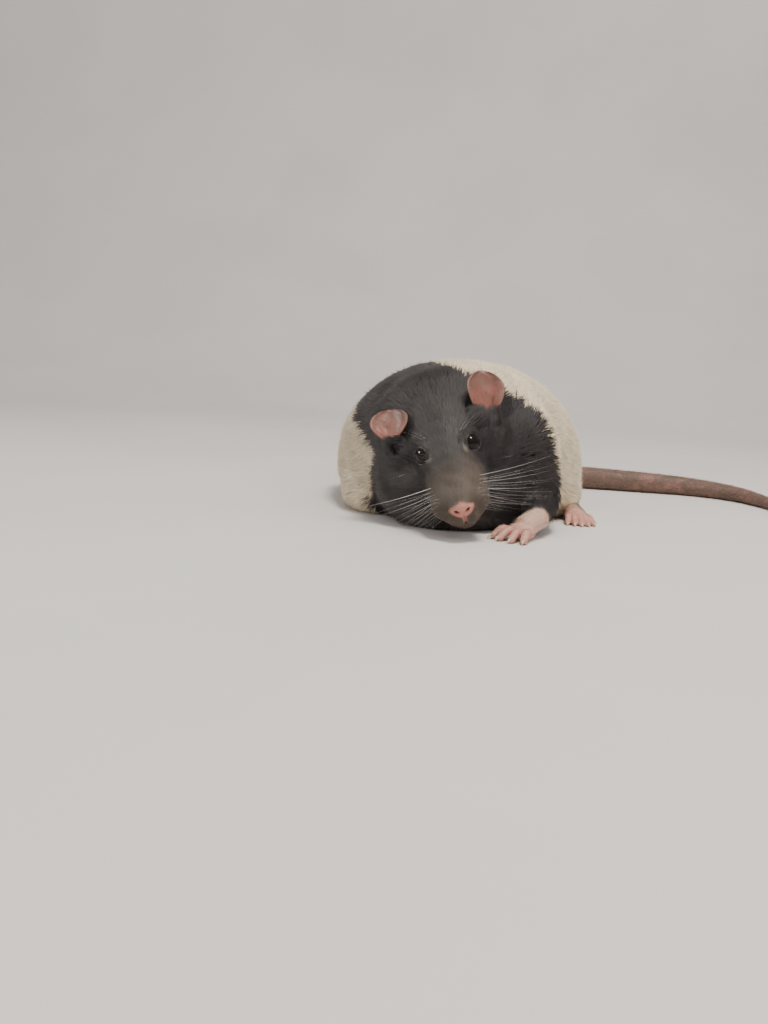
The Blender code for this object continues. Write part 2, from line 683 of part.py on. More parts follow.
def main():
    clear_scene()
    dark_coat = material("dark_coat", (0.030, 0.028, 0.030), 0.8)
    cream_coat = material("cream_coat", (0.72, 0.64, 0.52), 0.8)
    pink_skin = material("pink_skin", (0.62, 0.38, 0.34), 0.6)
    ear_skin = material("ear_skin", (0.42, 0.24, 0.21), 0.6)
    tail_skin = material("tail_skin", (0.36, 0.27, 0.23), 0.65)
    eye_gloss = material("eye_gloss", (0.01, 0.008, 0.008), 0.08)

    body = whole_body()
    thin_out(body, 3800)
    body_grown = grown(body, "body_grown", SEAM)
    nodes = {}
    for side, name, place in ((1, "ear_left", LEFT_EAR), (-1, "ear_right", RIGHT_EAR)):
        leaf = ear(name, side, place)
        nodes[name] = keep_largest(combine(leaf, [copy_of(body_grown, "head_form")], "DIFFERENCE"))
    remove(body_grown)
    face_cuts(body)
    for side, name in ((1, "eye_left"), (-1, "eye_right")):
        nodes[name] = eye_ball(name, side, EYE_RADIUS)
    on_floor(body)
    for name, (build, place, heading) in FEET.items():
        nodes[name] = build(name, place, heading)
        combine(body, [build(name + "_room", place, heading, SEAM * 1.5)], "DIFFERENCE")
    combine(body, [tail_length("tail_room", 0.0, 0.30, SEAM)], "DIFFERENCE")
    for name, start, end in TAIL_PARTS:
        nodes[name] = on_floor(tail_length(name, start, end))
    keep_largest(body)

    nodes["head"] = part_off(body, "head", head_region(0), head_region(SEAM))
    close, wide = leg_pieces(1.2), leg_pieces(1.2 + SEAM * 1.5)
    for name in ("foreleg_left", "foreleg_right"):
        nodes[name] = part_off(body, name, close[name], wide[name])
    for side, name in ((1, "hindleg_left"), (-1, "hindleg_right")):
        region = thigh_region(side, close[name], 0)
        nodes[name] = part_off(body, name, region, thigh_region(side, wide[name], SEAM))
    nodes["neck"] = part_off(body, "neck", neck_region(0), neck_region(SEAM))
    body.name = "torso"
    nodes["torso"] = body

    finishes = {
        "head": dark_coat,
        "neck": dark_coat,
        "torso": cream_coat,
        "foreleg": dark_coat,
        "hindleg": cream_coat,
        "ear": ear_skin,
        "eye": eye_gloss,
        "forefoot": pink_skin,
        "hindfoot": pink_skin,
        "tail": tail_skin,
    }
    for name, thing in nodes.items():
        thing.name = name
        thing.data.name = name
        thing.data.materials.clear()
        thing.data.materials.append(finishes[name.split("_")[0]])
        thing.data.shade_smooth()
        thing.data.set_sharp_from_angle(angle=math.radians(38))


main()
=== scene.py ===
"""The looks of a hooded pet rat resting on its belly: skin, coat, eyes, ears, feet, whiskers and tail.

The rat faces -Y and its left side is +X. Shapes are worked out in millimetres, in the frame of the
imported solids, and every mesh is turned into metres when it is finished.
"""

import math

import bmesh
import bpy
import numpy as np
from mathutils import Euler, Matrix, Vector
from mathutils.bvhtree import BVHTree


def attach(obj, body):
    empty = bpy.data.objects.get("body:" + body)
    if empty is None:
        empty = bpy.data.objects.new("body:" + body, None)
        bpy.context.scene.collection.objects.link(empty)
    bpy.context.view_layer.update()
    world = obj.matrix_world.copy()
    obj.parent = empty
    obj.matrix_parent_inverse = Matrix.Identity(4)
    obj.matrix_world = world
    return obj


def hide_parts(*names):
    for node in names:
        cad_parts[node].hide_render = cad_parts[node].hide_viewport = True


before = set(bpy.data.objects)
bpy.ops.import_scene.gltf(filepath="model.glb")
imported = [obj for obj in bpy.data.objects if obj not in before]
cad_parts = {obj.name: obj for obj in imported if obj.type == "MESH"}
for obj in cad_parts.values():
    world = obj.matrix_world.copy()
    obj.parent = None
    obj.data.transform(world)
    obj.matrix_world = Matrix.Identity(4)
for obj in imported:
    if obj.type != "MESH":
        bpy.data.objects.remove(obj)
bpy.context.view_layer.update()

MM = 0.001
FLOOR_GAP = 0.12
VOXEL = 0.7

# Where the middle between the eyes lies, and how the head is turned there.
EYES_MIDDLE = (-12.7, -76.5, 29.4)
HEAD_YAW = math.radians(-3.5)
HEAD_ROLL = math.radians(-18.5)
HEAD_PITCH = math.radians(24)

# The trunk: y, middle x, half width, top, height of the widest place, bottom.
TORSO = (
    (77.0, 2.0, 6.0, 18.0, 11.0, 4.0),
    (72.5, 1.5, 19.0, 29.0, 12.0, -1.0),
    (64.0, 0.5, 31.0, 41.0, 13.0, -3.0),
    (50.0, -1.0, 42.5, 52.0, 14.0, -4.0),
    (31.0, -2.0, 50.5, 59.5, 15.0, -4.0),
    (10.0, -2.5, 53.0, 62.0, 16.0, -4.0),
    (-11.0, -3.0, 51.0, 62.0, 17.0, -4.0),
    (-29.0, -3.0, 44.5, 61.0, 20.0, -4.0),
    (-45.0, -4.5, 37.5, 59.0, 23.0, -3.0),
    (-57.0, -7.0, 31.5, 52.0, 22.0, -2.0),
    (-67.0, -9.0, 25.0, 38.0, 18.0, -1.0),
    (-75.0, -10.0, 12.0, 24.0, 13.0, 3.0),
)
TORSO_SHAPES = (2.1, 2.7)

# The head in its own frame, eyes' middle at the origin, nose towards -y:
# y, half width, top, height of the widest place, bottom.
HEAD = (
    (-27.4, 2.4, -6.0, -8.4, -11.4),
    (-25.4, 5.2, -4.2, -9.4, -15.2),
    (-22.0, 8.2, -2.2, -10.2, -17.8),
    (-17.0, 9.8, 0.2, -10.4, -19.2),
    (-11.0, 10.6, 3.0, -10.0, -20.0),
    (-5.0, 11.6, 5.6, -9.2, -20.6),
    (1.0, 13.4, 8.2, -8.2, -21.2),
    (9.0, 16.6, 11.0, -7.2, -22.0),
    (17.0, 19.2, 13.0, -5.6, -22.2),
    (25.0, 20.6, 13.6, -4.4, -21.6),
    (33.0, 19.0, 12.0, -4.0, -19.0),
)
HEAD_SHAPES = (1.9, 2.1)

LEFT_ARM = ((22, -46, 20), (24.5, -60, 12), (19.5, -76.5, 6.6))
RIGHT_ARM = ((-29, -17, 20), (-31, -34, 14), (-24.5, -47, 6.8))
LEFT_SHANK = ((34, 22, 20), (41, 2, 11), (41.5, -14, 6.0))
RIGHT_SHANK = ((-36, 34, 20), (-39, 19, 11), (-36.5, 7, 6.0))
TAIL_STUMP = ((3, 50, 16), (4, 70, 11.5), (12, 81, 8.0))

# Each eye in the head's frame, given for the rat's left: its ball, and the opening between its lids.
EYE_CENTRE = (8.0, -1.4, 1.2)
EYE_RADIUS = 3.6
EYE_LOOK = (0.66, -0.62, 0.42)
EYE_ALONG = (0.30, 0.88, 0.30)
LID_HALF_LENGTH = 3.25
LID_HALF_HEIGHT = 2.85
CORNER_PINCH = 0.25

# How far the skin is from the eye's centre, by its place across the opening: 1 is on the lids' edge.
LID_PROFILE = ((0, 3.2), (0.8, 3.25), (0.95, 3.5), (1.07, 4.02), (1.25, 4.06), (1.5, 3.86), (2, 4.1))

NOSTRIL = (1.75, -29.0, -8.3)
NOSTRIL_SLANT = math.radians(28)
MOUTH_LINE = (
    (-7.4, -14, -18.0), (-5.6, -19, -17.4), (-3.0, -23.6, -16.8), (0, -25.4, -15.4),
    (3.0, -23.6, -16.8), (5.6, -19, -17.4), (7.4, -14, -18.0),
)
LIP_PARTING = ((0, -28, -10.4), (0, -27, -12.2), (0, -25.8, -14.0), (0, -25.4, -15.4))

# The ears' leaves: half the angle that they curl through at the root and at the top, and where they grow.
# A brush is hairs per square millimetre, lowest and highest tip above the root, and half angle of its fan.
EAR_CURL = (1.6, 0.9)
EAR_ROWS = 56
EAR_COLUMNS = 49
EAR_SUNK = 0.16
EAR_LEAN = 2.2
EAR_THICKNESS = 0.78
EAR_SWELLING = (15.5, 9.5, -3.4)
EAR_SWELLING_RADII = (6.0, 8.5, 7.0)
LEFT_EAR = {
    "root": (15.4, 15.6, 3.4), "up": (0.28, 0.42, 0.86), "open": (0.25, -0.95, 0.20),
    "height": 14.6, "half_width": 8.8, "base_share": 0.72, "brush": (10.0, -0.6, 3.2, 1.5),
}
RIGHT_EAR = {
    "root": (18.8, 12.2, 2.8), "up": (-0.20, 0.58, 0.79), "open": (0.20, -0.85, 0.45),
    "height": 12.2, "half_width": 8.9, "base_share": 0.42, "brush": (24.0, -1.8, 2.0, 2.2),
}
EARS = (("ear_left", 1, LEFT_EAR), ("ear_right", -1, RIGHT_EAR))

# Each foot: where its wrist or heel is on the floor, and its turn about Z in degrees.
# Each toe: how far it is to the side, its fan in degrees and its length.
FOREFEET = (("forefoot_left", (18.5, -79.0), -44), ("forefoot_right", (-23.5, -47.0), 14))
HINDFEET = (("hindfoot_left", (41.5, -10.5), 2), ("hindfoot_right", (-36.0, 12.0), -5))
FORE_TOES = ((-4.0, -26, 5.6), (-1.4, -9, 6.8), (1.4, 8, 6.8), (4.0, 25, 5.8))
HIND_TOES = ((-3.4, -13, 6.6), (-1.7, -6, 8.4), (0, 0, 8.8), (1.7, 6, 8.4), (3.4, 13, 7.0))
FOOT_FORMS = {
    "fore": {
        "shank": (((0, 4.5, 7.0), (0, 0, 6.0), (0, -4.5, 4.2)), (3.9, 4.0, 4.2), 20, 10),
        "sole": ((0, -6.0, 3.1), (5.0, 5.2, 3.2)),
        "toes": FORE_TOES, "toe_start": (-8.0, 3.0, 1.6), "toe_radii": (1.75, 1.6, 1.3),
        "creases": (9.5, 11),
    },
    "hind": {
        "shank": (((0, 2, 5.0), (0, -12, 3.9), (0, -24, 2.7)), (4.3, 3.7, 3.9), 20, 14, 0.85),
        "sole": ((0, -24, 2.4), (4.7, 5.0, 2.6)),
        "toes": HIND_TOES, "toe_start": (-25.5, 2.3, 1.3), "toe_radii": (1.45, 1.25, 1.1),
        "creases": (27, 28.5),
    },
}
CLAW_LENGTH = 2.6
CLAW_RADII = (0.62, 0.50, 0.16)
FOOT_VOXEL = 0.26
CREASE_STEP = 0.95
CREASE_DEPTH = 0.07

# The tail's middle line on the floor, from inside the rump to the tip, with its radius.
TAIL_ROUTE = (
    (2.0, 62.0, 13.0, 5.8),
    (6.0, 76.0, 10.0, 6.4),
    (22.0, 87.5, 6.8, 6.2),
    (46.0, 90.0, 5.8, 5.9),
    (72.0, 87.0, 5.5, 5.6),
    (98.0, 82.5, 5.1, 5.2),
    (121.0, 77.5, 4.5, 4.6),
    (138.5, 64.0, 3.7, 3.8),
    (146.0, 43.0, 2.8, 2.9),
    (147.0, 22.0, 2.0, 2.1),
    (143.5, 4.0, 1.3, 1.4),
    (140.0, -5.0, 0.9, 0.9),
)
SCALE_RING = 1.05
SCALES_AROUND = 34
TAIL_STEP = 0.26
TAIL_SIDES = 56
BRISTLES_A_RING = 13
FIRST_BRISTLE_RING = 16

# How deep the coat is, from the nose back along the head, and on the body.
DEPTH_ALONG_HEAD = (
    (-27, 0.15), (-22, 0.45), (-15, 0.7), (-6, 0.95), (4, 1.3), (14, 1.8), (24, 2.3), (34, 2.6),
)
BODY_DEPTH = 3.0
WRIST_DEPTH = 0.8
WRIST_REACH = 5
DEPTH_PER_MM_FROM_WRIST = 0.16

# The hair, by the coat's depth: its length and width, and how many there are to a square millimetre.
HAIR_LENGTH_BY_DEPTH = ((0.15, 1.0), (0.5, 1.9), (1.0, 3.4), (1.8, 5.6), (3.0, 9.0))
HAIR_WIDTH_BY_DEPTH = ((0.15, 0.13), (0.7, 0.19), (1.5, 0.31), (3.0, 0.50))
HAIRS_PER_MM2 = ((0.15, 24.0), (0.7, 14.0), (1.2, 8.2), (1.8, 5.3), (3.0, 3.25))
GUARD_HAIRS_PER_MM2 = 0.45
GUARD_HAIR_HABIT = {"stretch": 1.35, "thin": 0.42, "stand": 1.5}
TRUNK_BANDS = ("_shoulders", "_ribs", "_back", "_belly_side", "_loin", "_hips", "_rump")

# Where the coat is deeper than this, the skin under it keeps a smaller share of its faces.
COVERED_DEPTHS = (1.5, 2.2)
COVERED_SKIN_SHARE = 0.45

# Where each random draw starts from, so that every run gives the same rat.
ROOT_SEED = 101
COAT_SEED = 201
LIE_SEED = 40
FUZZ_SEED = 301
BRUSH_SEED = 305
FOOT_HAIR_SEED = 311
BRISTLE_SEED = 320
WHISKER_SEED = 330

# The hood's back edge: degrees around the trunk from the spine towards the rat's left, and Y plus
# HOOD_FLARE of the distance out from the trunk's own axis.
HOOD_AXIS = (-3.0, 14.0)
HOOD_FLARE = 0.8
HOOD_EDGE = (
    (-180, -36), (-135, -22), (-110, -14), (-99, -19), (-86, -26.5), (-75, -28), (-71, -28), (-67, -24),
    (-64, -10), (-60, 25), (-55, 46), (-45, 55), (-30, 55), (-22, 50), (-17, 24), (-14, -4), (-11, -18),
    (-8, -24), (-3, -28), (6, -30), (17, -29), (28, -28), (37, -32), (48, -37), (62, -38), (76, -35),
    (84, -28), (92, -24), (108, -25), (130, -31), (180, -36),
)

# The pale mark before each eye, in the head's frame, and the pale sock on the left wrist.
EYE_SPOT = (6.0, -7.6, 1.8)
EYE_SPOT_RADII = (1.3, 2.0, 1.6)
SOCK_AT = (21.0, -78.5, 5.5)
SOCK_RADII = (7.5, 6.5, 6.2)


# Small tools for shapes

def new_object(name, data):
    """A mesh, lamp or camera as an object of the scene."""
    made = bpy.data.objects.new(name, data)
    bpy.context.scene.collection.objects.link(made)
    return made


def remove(things):
    """Take objects out of the file."""
    for thing in things:
        bpy.data.objects.remove(thing)


def apply_modifiers(thing):
    """Put the object's modifiers into its mesh."""
    graph = bpy.context.evaluated_depsgraph_get()
    made = bpy.data.meshes.new_from_object(thing.evaluated_get(graph))
    thing.modifiers.clear()
    thing.data = made
    return thing


def smooth_rows(table, steps):
    """Rows read at even steps from a smooth curve through the table's rows."""
    rows = np.array(table, float)
    padded = np.vstack([2 * rows[0] - rows[1], rows, 2 * rows[-1] - rows[-2]])
    found = []
    for place in np.linspace(0, len(rows) - 1, steps):
        i = min(int(place), len(rows) - 2)
        t = place - i
        a, b, c, d = padded[i : i + 4]
        bend = (2 * a - 5 * b + 4 * c - d) * t * t + (3 * b - a - 3 * c + d) * t**3
        found.append(0.5 * (2 * b + (c - a) * t + bend))
    return np.array(found)


def groove(away, width):
    """1 in the middle of a groove or ridge, falling away softly on both sides of it."""
    return np.exp(-((away / width) ** 2))


def graded(values, table):
    """Read a table of (place, value) pairs at the values given."""
    places, levels = zip(*table)
    return np.interp(values, places, levels)


def eased(values, low, high):
    """0 below low, 1 above high, and a soft step between."""
    t = np.clip((values - low) / (high - low), 0, 1)
    return t * t * (3 - 2 * t)


def unit(vectors):
    """The same directions, with a length of 1."""
    return vectors / np.maximum(np.linalg.norm(vectors, axis=-1, keepdims=True), 1e-9)


def dots(a, b):
    """How far each vector goes along its partner."""
    return np.sum(a * b, axis=-1, keepdims=True)


def ripple(points, size, seed):
    """A smooth seeded wobble over space, about -1 to 1, with swells of about this size."""
    waves = 7
    draw = np.random.default_rng(seed)
    total = np.zeros(len(points))
    for _ in range(waves):
        way = unit(draw.normal(size=3)) * (2 * math.pi / size) * draw.uniform(0.6, 1.5)
        total += np.sin(points @ way + draw.uniform(0, 2 * math.pi))
    return total / math.sqrt(waves)


def object_of_shape(name, shape):
    """The shape worked on as an object of its own, in millimetres."""
    mesh = bpy.data.meshes.new(name)
    shape.to_mesh(mesh)
    shape.free()
    return new_object(name, mesh)


def bridge(shape, pairs):
    """Faces between the two rings of each pair."""
    for near, far in pairs:
        for k in range(len(near)):
            after = (k + 1) % len(near)
            shape.faces.new((near[k], near[after], far[after], far[k]))


def section(y, middle_x, half_width, top, widest, bottom, shapes, around):
    """A ring of points across the body: an oval with its own fullness above and below its widest place."""
    ring = []
    for k in range(around):
        angle = 2 * math.pi * k / around
        across, up = math.cos(angle), math.sin(angle)
        shape = shapes[0] if up >= 0 else shapes[1]
        height = (top - widest) if up >= 0 else (widest - bottom)
        x = middle_x + half_width * math.copysign(abs(across) ** (2 / shape), across)
        z = widest + height * math.copysign(abs(up) ** (2 / shape), up)
        ring.append((x, y, z))
    return ring


def loft(name, rings):
    """A closed skin through rings of points."""
    shape = bmesh.new()
    loops = [[shape.verts.new(point) for point in ring] for ring in rings]
    bridge(shape, zip(loops, loops[1:]))
    shape.faces.new(loops[0])
    shape.faces.new(loops[-1])
    bmesh.ops.recalc_face_normals(shape, faces=shape.faces)
    return object_of_shape(name, shape)


def closed_ring(name, rings):
    """A tube whose last ring meets its first."""
    shape = bmesh.new()
    loops = [[shape.verts.new(point) for point in ring] for ring in rings]
    bridge(shape, zip(loops, loops[1:] + loops[:1]))
    bmesh.ops.recalc_face_normals(shape, faces=shape.faces)
    return object_of_shape(name, shape)


def ellipsoid(name, centre, radii, turn=(0, 0, 0), detail=(24, 14)):
    """An egg of three radii, turned by degrees; pieces like this are melted into one skin."""
    shape = bmesh.new()
    bmesh.ops.create_uvsphere(shape, u_segments=detail[0], v_segments=detail[1], radius=1.0)
    spin = Euler([math.radians(a) for a in turn]).to_matrix().to_4x4()
    shape.transform(Matrix.Translation(Vector(centre)) @ spin @ Matrix.Diagonal((*radii, 1.0)))
    return object_of_shape(name, shape)


def limb(name, points, radii, sides=12, steps=12, flatten=1.0):
    """A tapered tube with rounded ends along a smooth route; flatten squeezes it upright."""
    table = [(*p, r) for p, r in zip(points, radii)]
    route = [(Vector(row[:3]), float(row[3])) for row in smooth_rows(table, steps)]
    first_out = (route[0][0] - route[1][0]).normalized()
    last_out = (route[-1][0] - route[-2][0]).normalized()
    first = (route[0][0] + first_out * route[0][1] * 0.6, route[0][1] * 0.55)
    last = (route[-1][0] + last_out * route[-1][1] * 0.6, route[-1][1] * 0.55)
    spots = [first, *route, last]
    rings = []
    side = None
    for i, spot in enumerate(spots):
        before, after = spots[max(i - 1, 0)][0], spots[min(i + 1, len(spots) - 1)][0]
        along = (after - before).normalized()
        if side is None:
            side = along.cross(Vector((0, 0, 1)))
            side = side.normalized() if side.length > 0.1 else Vector((1, 0, 0))
        side = (side - along * side.dot(along)).normalized()
        up = side.cross(along)
        ring = []
        for k in range(sides):
            angle = 2 * math.pi * k / sides
            out = side * math.cos(angle) + up * (math.sin(angle) * flatten)
            ring.append(spot[0] + out * spot[1])
        rings.append(ring)
    return loft(name, rings)


def moved(thing, matrix):
    """Put a piece's mesh in another place."""
    thing.data.transform(matrix)
    thing.data.update()
    return thing


def joined(name, pieces):
    """Several pieces' meshes as one object."""
    both = bmesh.new()
    for piece in pieces:
        both.from_mesh(piece.data)
    remove(pieces)
    return object_of_shape(name, both)


def fuse(name, pieces, voxel):
    """Melt overlapping closed pieces into one skin."""
    made = joined(name, pieces)
    step = made.modifiers.new("Fuse", "REMESH")
    step.mode = "VOXEL"
    step.voxel_size = voxel
    return apply_modifiers(made)


def points_of(mesh):
    """The mesh's points, one row each."""
    co = np.empty(len(mesh.vertices) * 3, np.float32)
    mesh.vertices.foreach_get("co", co)
    return co.reshape(-1, 3).astype(float)


def normals_of(mesh):
    """The ways that the surface faces at each point."""
    vectors = np.empty(len(mesh.vertices) * 3, np.float32)
    mesh.vertex_normals.foreach_get("vector", vectors)
    return vectors.reshape(-1, 3).astype(float)


def triangles_of(mesh):
    """The three points of each triangle."""
    mesh.calc_loop_triangles()
    corners = np.empty(len(mesh.loop_triangles) * 3, np.int32)
    mesh.loop_triangles.foreach_get("vertices", corners)
    return corners.reshape(-1, 3)


def set_points(mesh, points):
    """Give the mesh its points' new places."""
    mesh.vertices.foreach_set("co", points.astype(np.float32).ravel())
    mesh.update()


def mark(mesh, name, values):
    """Keep one number a point on the mesh, for its material."""
    made = mesh.attributes.new(name, "FLOAT", "POINT")
    made.data.foreach_set("value", np.asarray(values, np.float32))


def mesh_of_triangles(name, points, triangles):
    """A mesh in metres from points in millimetres."""
    mesh = bpy.data.meshes.new(name)
    mesh.vertices.add(len(points))
    mesh.vertices.foreach_set("co", (points * MM).astype(np.float32).ravel())
    mesh.loops.add(len(triangles) * 3)
    mesh.loops.foreach_set("vertex_index", triangles.astype(np.int32).ravel())
    mesh.polygons.add(len(triangles))
    mesh.polygons.foreach_set("loop_start", np.arange(0, len(triangles) * 3, 3, dtype=np.int32))
    mesh.update(calc_edges=True)
    mesh.shade_smooth()
    return mesh


def weight_group(thing, name, weights):
    """A vertex group with its weights rounded to steps of one twentieth."""
    steps = 20
    group = thing.vertex_groups.new(name=name)
    for level in range(steps + 1):
        chosen = np.nonzero(np.round(weights * steps) == level)[0]
        group.add(chosen.tolist(), level / steps, "REPLACE")


def relax(thing, group, times):
    """Even out a surface, as strongly as the named group says."""
    step = thing.modifiers.new("Relax", "SMOOTH")
    step.vertex_group = group
    step.factor = 0.5
    step.iterations = times


def values_of(mesh, name):
    """One number a point, as mark() kept it."""
    values = np.empty(len(mesh.vertices), np.float32)
    mesh.attributes[name].data.foreach_get("value", values)
    return values


def finished(thing):
    """Turn a piece made in millimetres into metres."""
    thing.data.transform(Matrix.Scale(MM, 4))
    thing.data.update()
    return thing


# The head's own frame

HEAD_TURN = Matrix.Rotation(HEAD_YAW, 4, "Z") @ Matrix.Rotation(HEAD_ROLL, 4, "Y")
HEAD_TURN = HEAD_TURN @ Matrix.Rotation(HEAD_PITCH, 4, "X")
HEAD_FRAME = Matrix.Translation(Vector(EYES_MIDDLE)) @ HEAD_TURN
HEAD_AXES = np.array(HEAD_TURN.to_3x3())


def head_point(point, side=1):
    """A place told in the head's frame, on the rat's left or with side -1 on its right."""
    return HEAD_FRAME @ Vector((point[0] * side, point[1], point[2]))


def head_direction(direction, side=1):
    """A direction of the head's own frame, given for the rat's left, as it is on the rat."""
    return (HEAD_TURN @ Vector((direction[0] * side, direction[1], direction[2]))).normalized()


def in_head(points):
    """Points of the body's frame, told in the head's own."""
    return (points - np.array(EYES_MIDDLE)) @ HEAD_AXES


def off_head(points):
    """0 on the head and 1 well behind it."""
    local = in_head(points)
    far = np.sqrt((local[:, 0] / 24) ** 2 + ((local[:, 1] - 2) / 34) ** 2 + ((local[:, 2] + 5) / 22) ** 2)
    return eased(far, 0.92, 1.25)


def eye_axes(side):
    """Where one eye is, which way it looks, which way its lids run and the way across them."""
    centre = head_point(EYE_CENTRE, side)
    look = head_direction(EYE_LOOK, side)
    along = head_direction(EYE_ALONG, side)
    along = (along - look * along.dot(look)).normalized()
    return centre, look, along, look.cross(along)


def lid_place(points, side):
    """How far points are from the middle of an eye's opening: 1 is on the lids' edge."""
    centre, look, along, across = (np.array(v) for v in eye_axes(side))
    rel = points - centre
    reach = rel @ along / LID_HALF_LENGTH
    rise = rel @ across / LID_HALF_HEIGHT
    pinch = 1 - CORNER_PINCH * np.clip(np.abs(reach), 0, 1) ** 3
    place = np.sqrt(reach**2 + (rise / pinch) ** 2)
    behind_eye = 9.0
    return np.where(rel @ look > 0, place, behind_eye)


def distance_to_route(points, route):
    """How far points are from a line through a few places."""
    best = np.full(len(points), 1e9)
    for start, end in zip(route[:-1], route[1:]):
        run = end - start
        t = np.clip((points - start) @ run / (run @ run), 0, 1)
        best = np.minimum(best, np.linalg.norm(points - start - t[:, None] * run, axis=1))
    return best


def ear_axes(place, side):
    """Where one ear grows, the way up its leaf, the way that its cup opens and the way across it."""
    root = np.array(head_point(place["root"], side))
    up = np.array(head_direction(place["up"], side))
    looks = np.array(head_direction(place["open"], side))
    looks = unit(looks - up * (looks @ up))
    return root, up, looks, np.cross(up, looks)


# The body under the coat

def trunk_pieces():
    """The trunk, and what swells out of it."""
    rings = [section(*row, TORSO_SHAPES, 48) for row in smooth_rows(TORSO, 40)]
    pieces = [loft("trunk", rings)]
    for side in (1, -1):
        pieces.append(ellipsoid("haunch", (33 * side - 2, 26, 22), (20.5, 30, 24), (-8, 0, 10 * side)))
        pieces.append(ellipsoid("shoulder", (20 * side - 4, -46, 24), (17, 22, 25), (12, 0, 0)))
    pieces.append(ellipsoid("neck", (-10, -48, 33), (25.5, 22, 23), (-20, -8, 0)))
    pieces.append(ellipsoid("nape", (-9, -42, 39), (30, 25, 21), (-6, -4, 0)))
    pieces.append(ellipsoid("chest", (-9, -57, 14), (29, 23, 19)))
    pieces.append(ellipsoid("right_knee", (-35, -20, 9), (18, 28, 15)))
    pieces.append(ellipsoid("left_knee", (33, -9, 10), (15.5, 26, 14)))
    return pieces


def head_pieces():
    """The head, and what swells out of it."""
    rings = [section(row[0], 0.0, *row[1:], HEAD_SHAPES, 48) for row in smooth_rows(HEAD, 40)]
    pieces = [loft("skull", rings)]
    lid = EYE_RADIUS + 1.1
    for side in (1, -1):
        eye = (EYE_CENTRE[0] * side, *EYE_CENTRE[1:])
        swelling = (EAR_SWELLING[0] * side, *EAR_SWELLING[1:])
        pieces.append(ellipsoid("ear_swelling", swelling, EAR_SWELLING_RADII))
        pieces.append(ellipsoid("cheek", (11.5 * side, 10, -9.5), (7.5, 12, 9.5), (0, 0, 8 * side)))
        pieces.append(ellipsoid("brow", (6.9 * side, 1.6, 1.4), (4.2, 6.6, 4.6), (0, 18 * side, 0)))
        pieces.append(ellipsoid("lids", eye, (lid, lid, lid)))
        pieces.append(ellipsoid("whisker_pad", (5.2 * side, -18.6, -9.8), (5.3, 6.8, 5.4)))
        pieces.append(ellipsoid("upper_lip", (2.8 * side, -23.4, -12.8), (3.3, 3.4, 3.6)))
    pieces.append(ellipsoid("nose_pad", (0, -26.9, -7.8), (3.1, 2.3, 2.5)))
    pieces.append(ellipsoid("jaw", (0, -18.2, -17.0), (4.8, 6.4, 3.4), (-8, 0, 0)))
    return [moved(piece, HEAD_FRAME) for piece in pieces]


def leg_pieces():
    """The parts of the legs that are not feet."""
    arm, shank = (12, 8, 5.0), (15, 9, 5.0)
    return [
        limb("left_arm", LEFT_ARM, arm, 12, 8),
        limb("right_arm", RIGHT_ARM, arm, 12, 8),
        limb("left_shank", LEFT_SHANK, shank, 12, 8),
        limb("right_shank", RIGHT_SHANK, shank, 12, 8),
        limb("tail_stump", TAIL_STUMP, (16, 11, 7.2)),
    ]


def finer_face(mesh):
    """Cut the face's faces in four, and those of the eyes, nose and lips once more."""
    shape = bmesh.new()
    shape.from_mesh(mesh)
    eyes = [np.array(head_point(EYE_CENTRE, side)) for side in (1, -1)]
    for level in range(2):
        middles = np.array([face.calc_center_median() for face in shape.faces])
        local = in_head(middles)
        if level == 0:
            chosen = (local[:, 1] < 9) & (np.abs(local[:, 0]) < 20) & (local[:, 2] > -24)
        else:
            near_eye = np.min([np.linalg.norm(middles - eye, axis=1) for eye in eyes], axis=0) < 6.0
            chosen = near_eye | ((local[:, 1] < -19) & (np.abs(local[:, 0]) < 10))
        faces = [face for face, take in zip(shape.faces, chosen) if take]
        edges = list({edge for face in faces for edge in face.edges})
        bmesh.ops.subdivide_edges(shape, edges=edges, cuts=1, use_grid_fill=True)
    shape.to_mesh(mesh)
    shape.free()
    mesh.update()


def coat_surface():
    """The outer face of the coat, the same form as the solids."""
    body = fuse("flesh", trunk_pieces() + head_pieces() + leg_pieces(), VOXEL)
    middle = np.array(head_point((0, -12, -5)))
    away = np.linalg.norm(points_of(body.data) - middle, axis=1)
    weight_group(body, "body", 0.03 + 0.97 * np.clip((away - 24) / 22, 0, 1))
    spots = [np.array(head_point(EAR_SWELLING, side)) for side in (1, -1)]
    near_ears = np.min([np.linalg.norm(points_of(body.data) - spot, axis=1) for spot in spots], axis=0)
    weight_group(body, "ear_roots", np.clip((12 - near_ears) / 4, 0, 1))
    relax(body, "body", 60)
    relax(body, "ear_roots", 36)
    relax(body, "", 2)
    apply_modifiers(body)
    finer_face(body.data)
    local = in_head(points_of(body.data))
    weight_group(body, "face", eased(-local[:, 1], -11, -7))
    relax(body, "face", 7)
    return apply_modifiers(body)


def coat_depth(points):
    """How far the skin lies inside the outer face of the coat."""
    local = in_head(points)
    behind = off_head(points)
    depth = graded(local[:, 1], DEPTH_ALONG_HEAD) * (1 - behind) + BODY_DEPTH * behind
    for place in (LEFT_ARM[-1], RIGHT_ARM[-1], LEFT_SHANK[-1], RIGHT_SHANK[-1], TAIL_STUMP[-1]):
        near = np.linalg.norm(points - np.array(place), axis=1)
        depth = np.minimum(depth, WRIST_DEPTH + DEPTH_PER_MM_FROM_WRIST * np.maximum(near - WRIST_REACH, 0))
    return depth


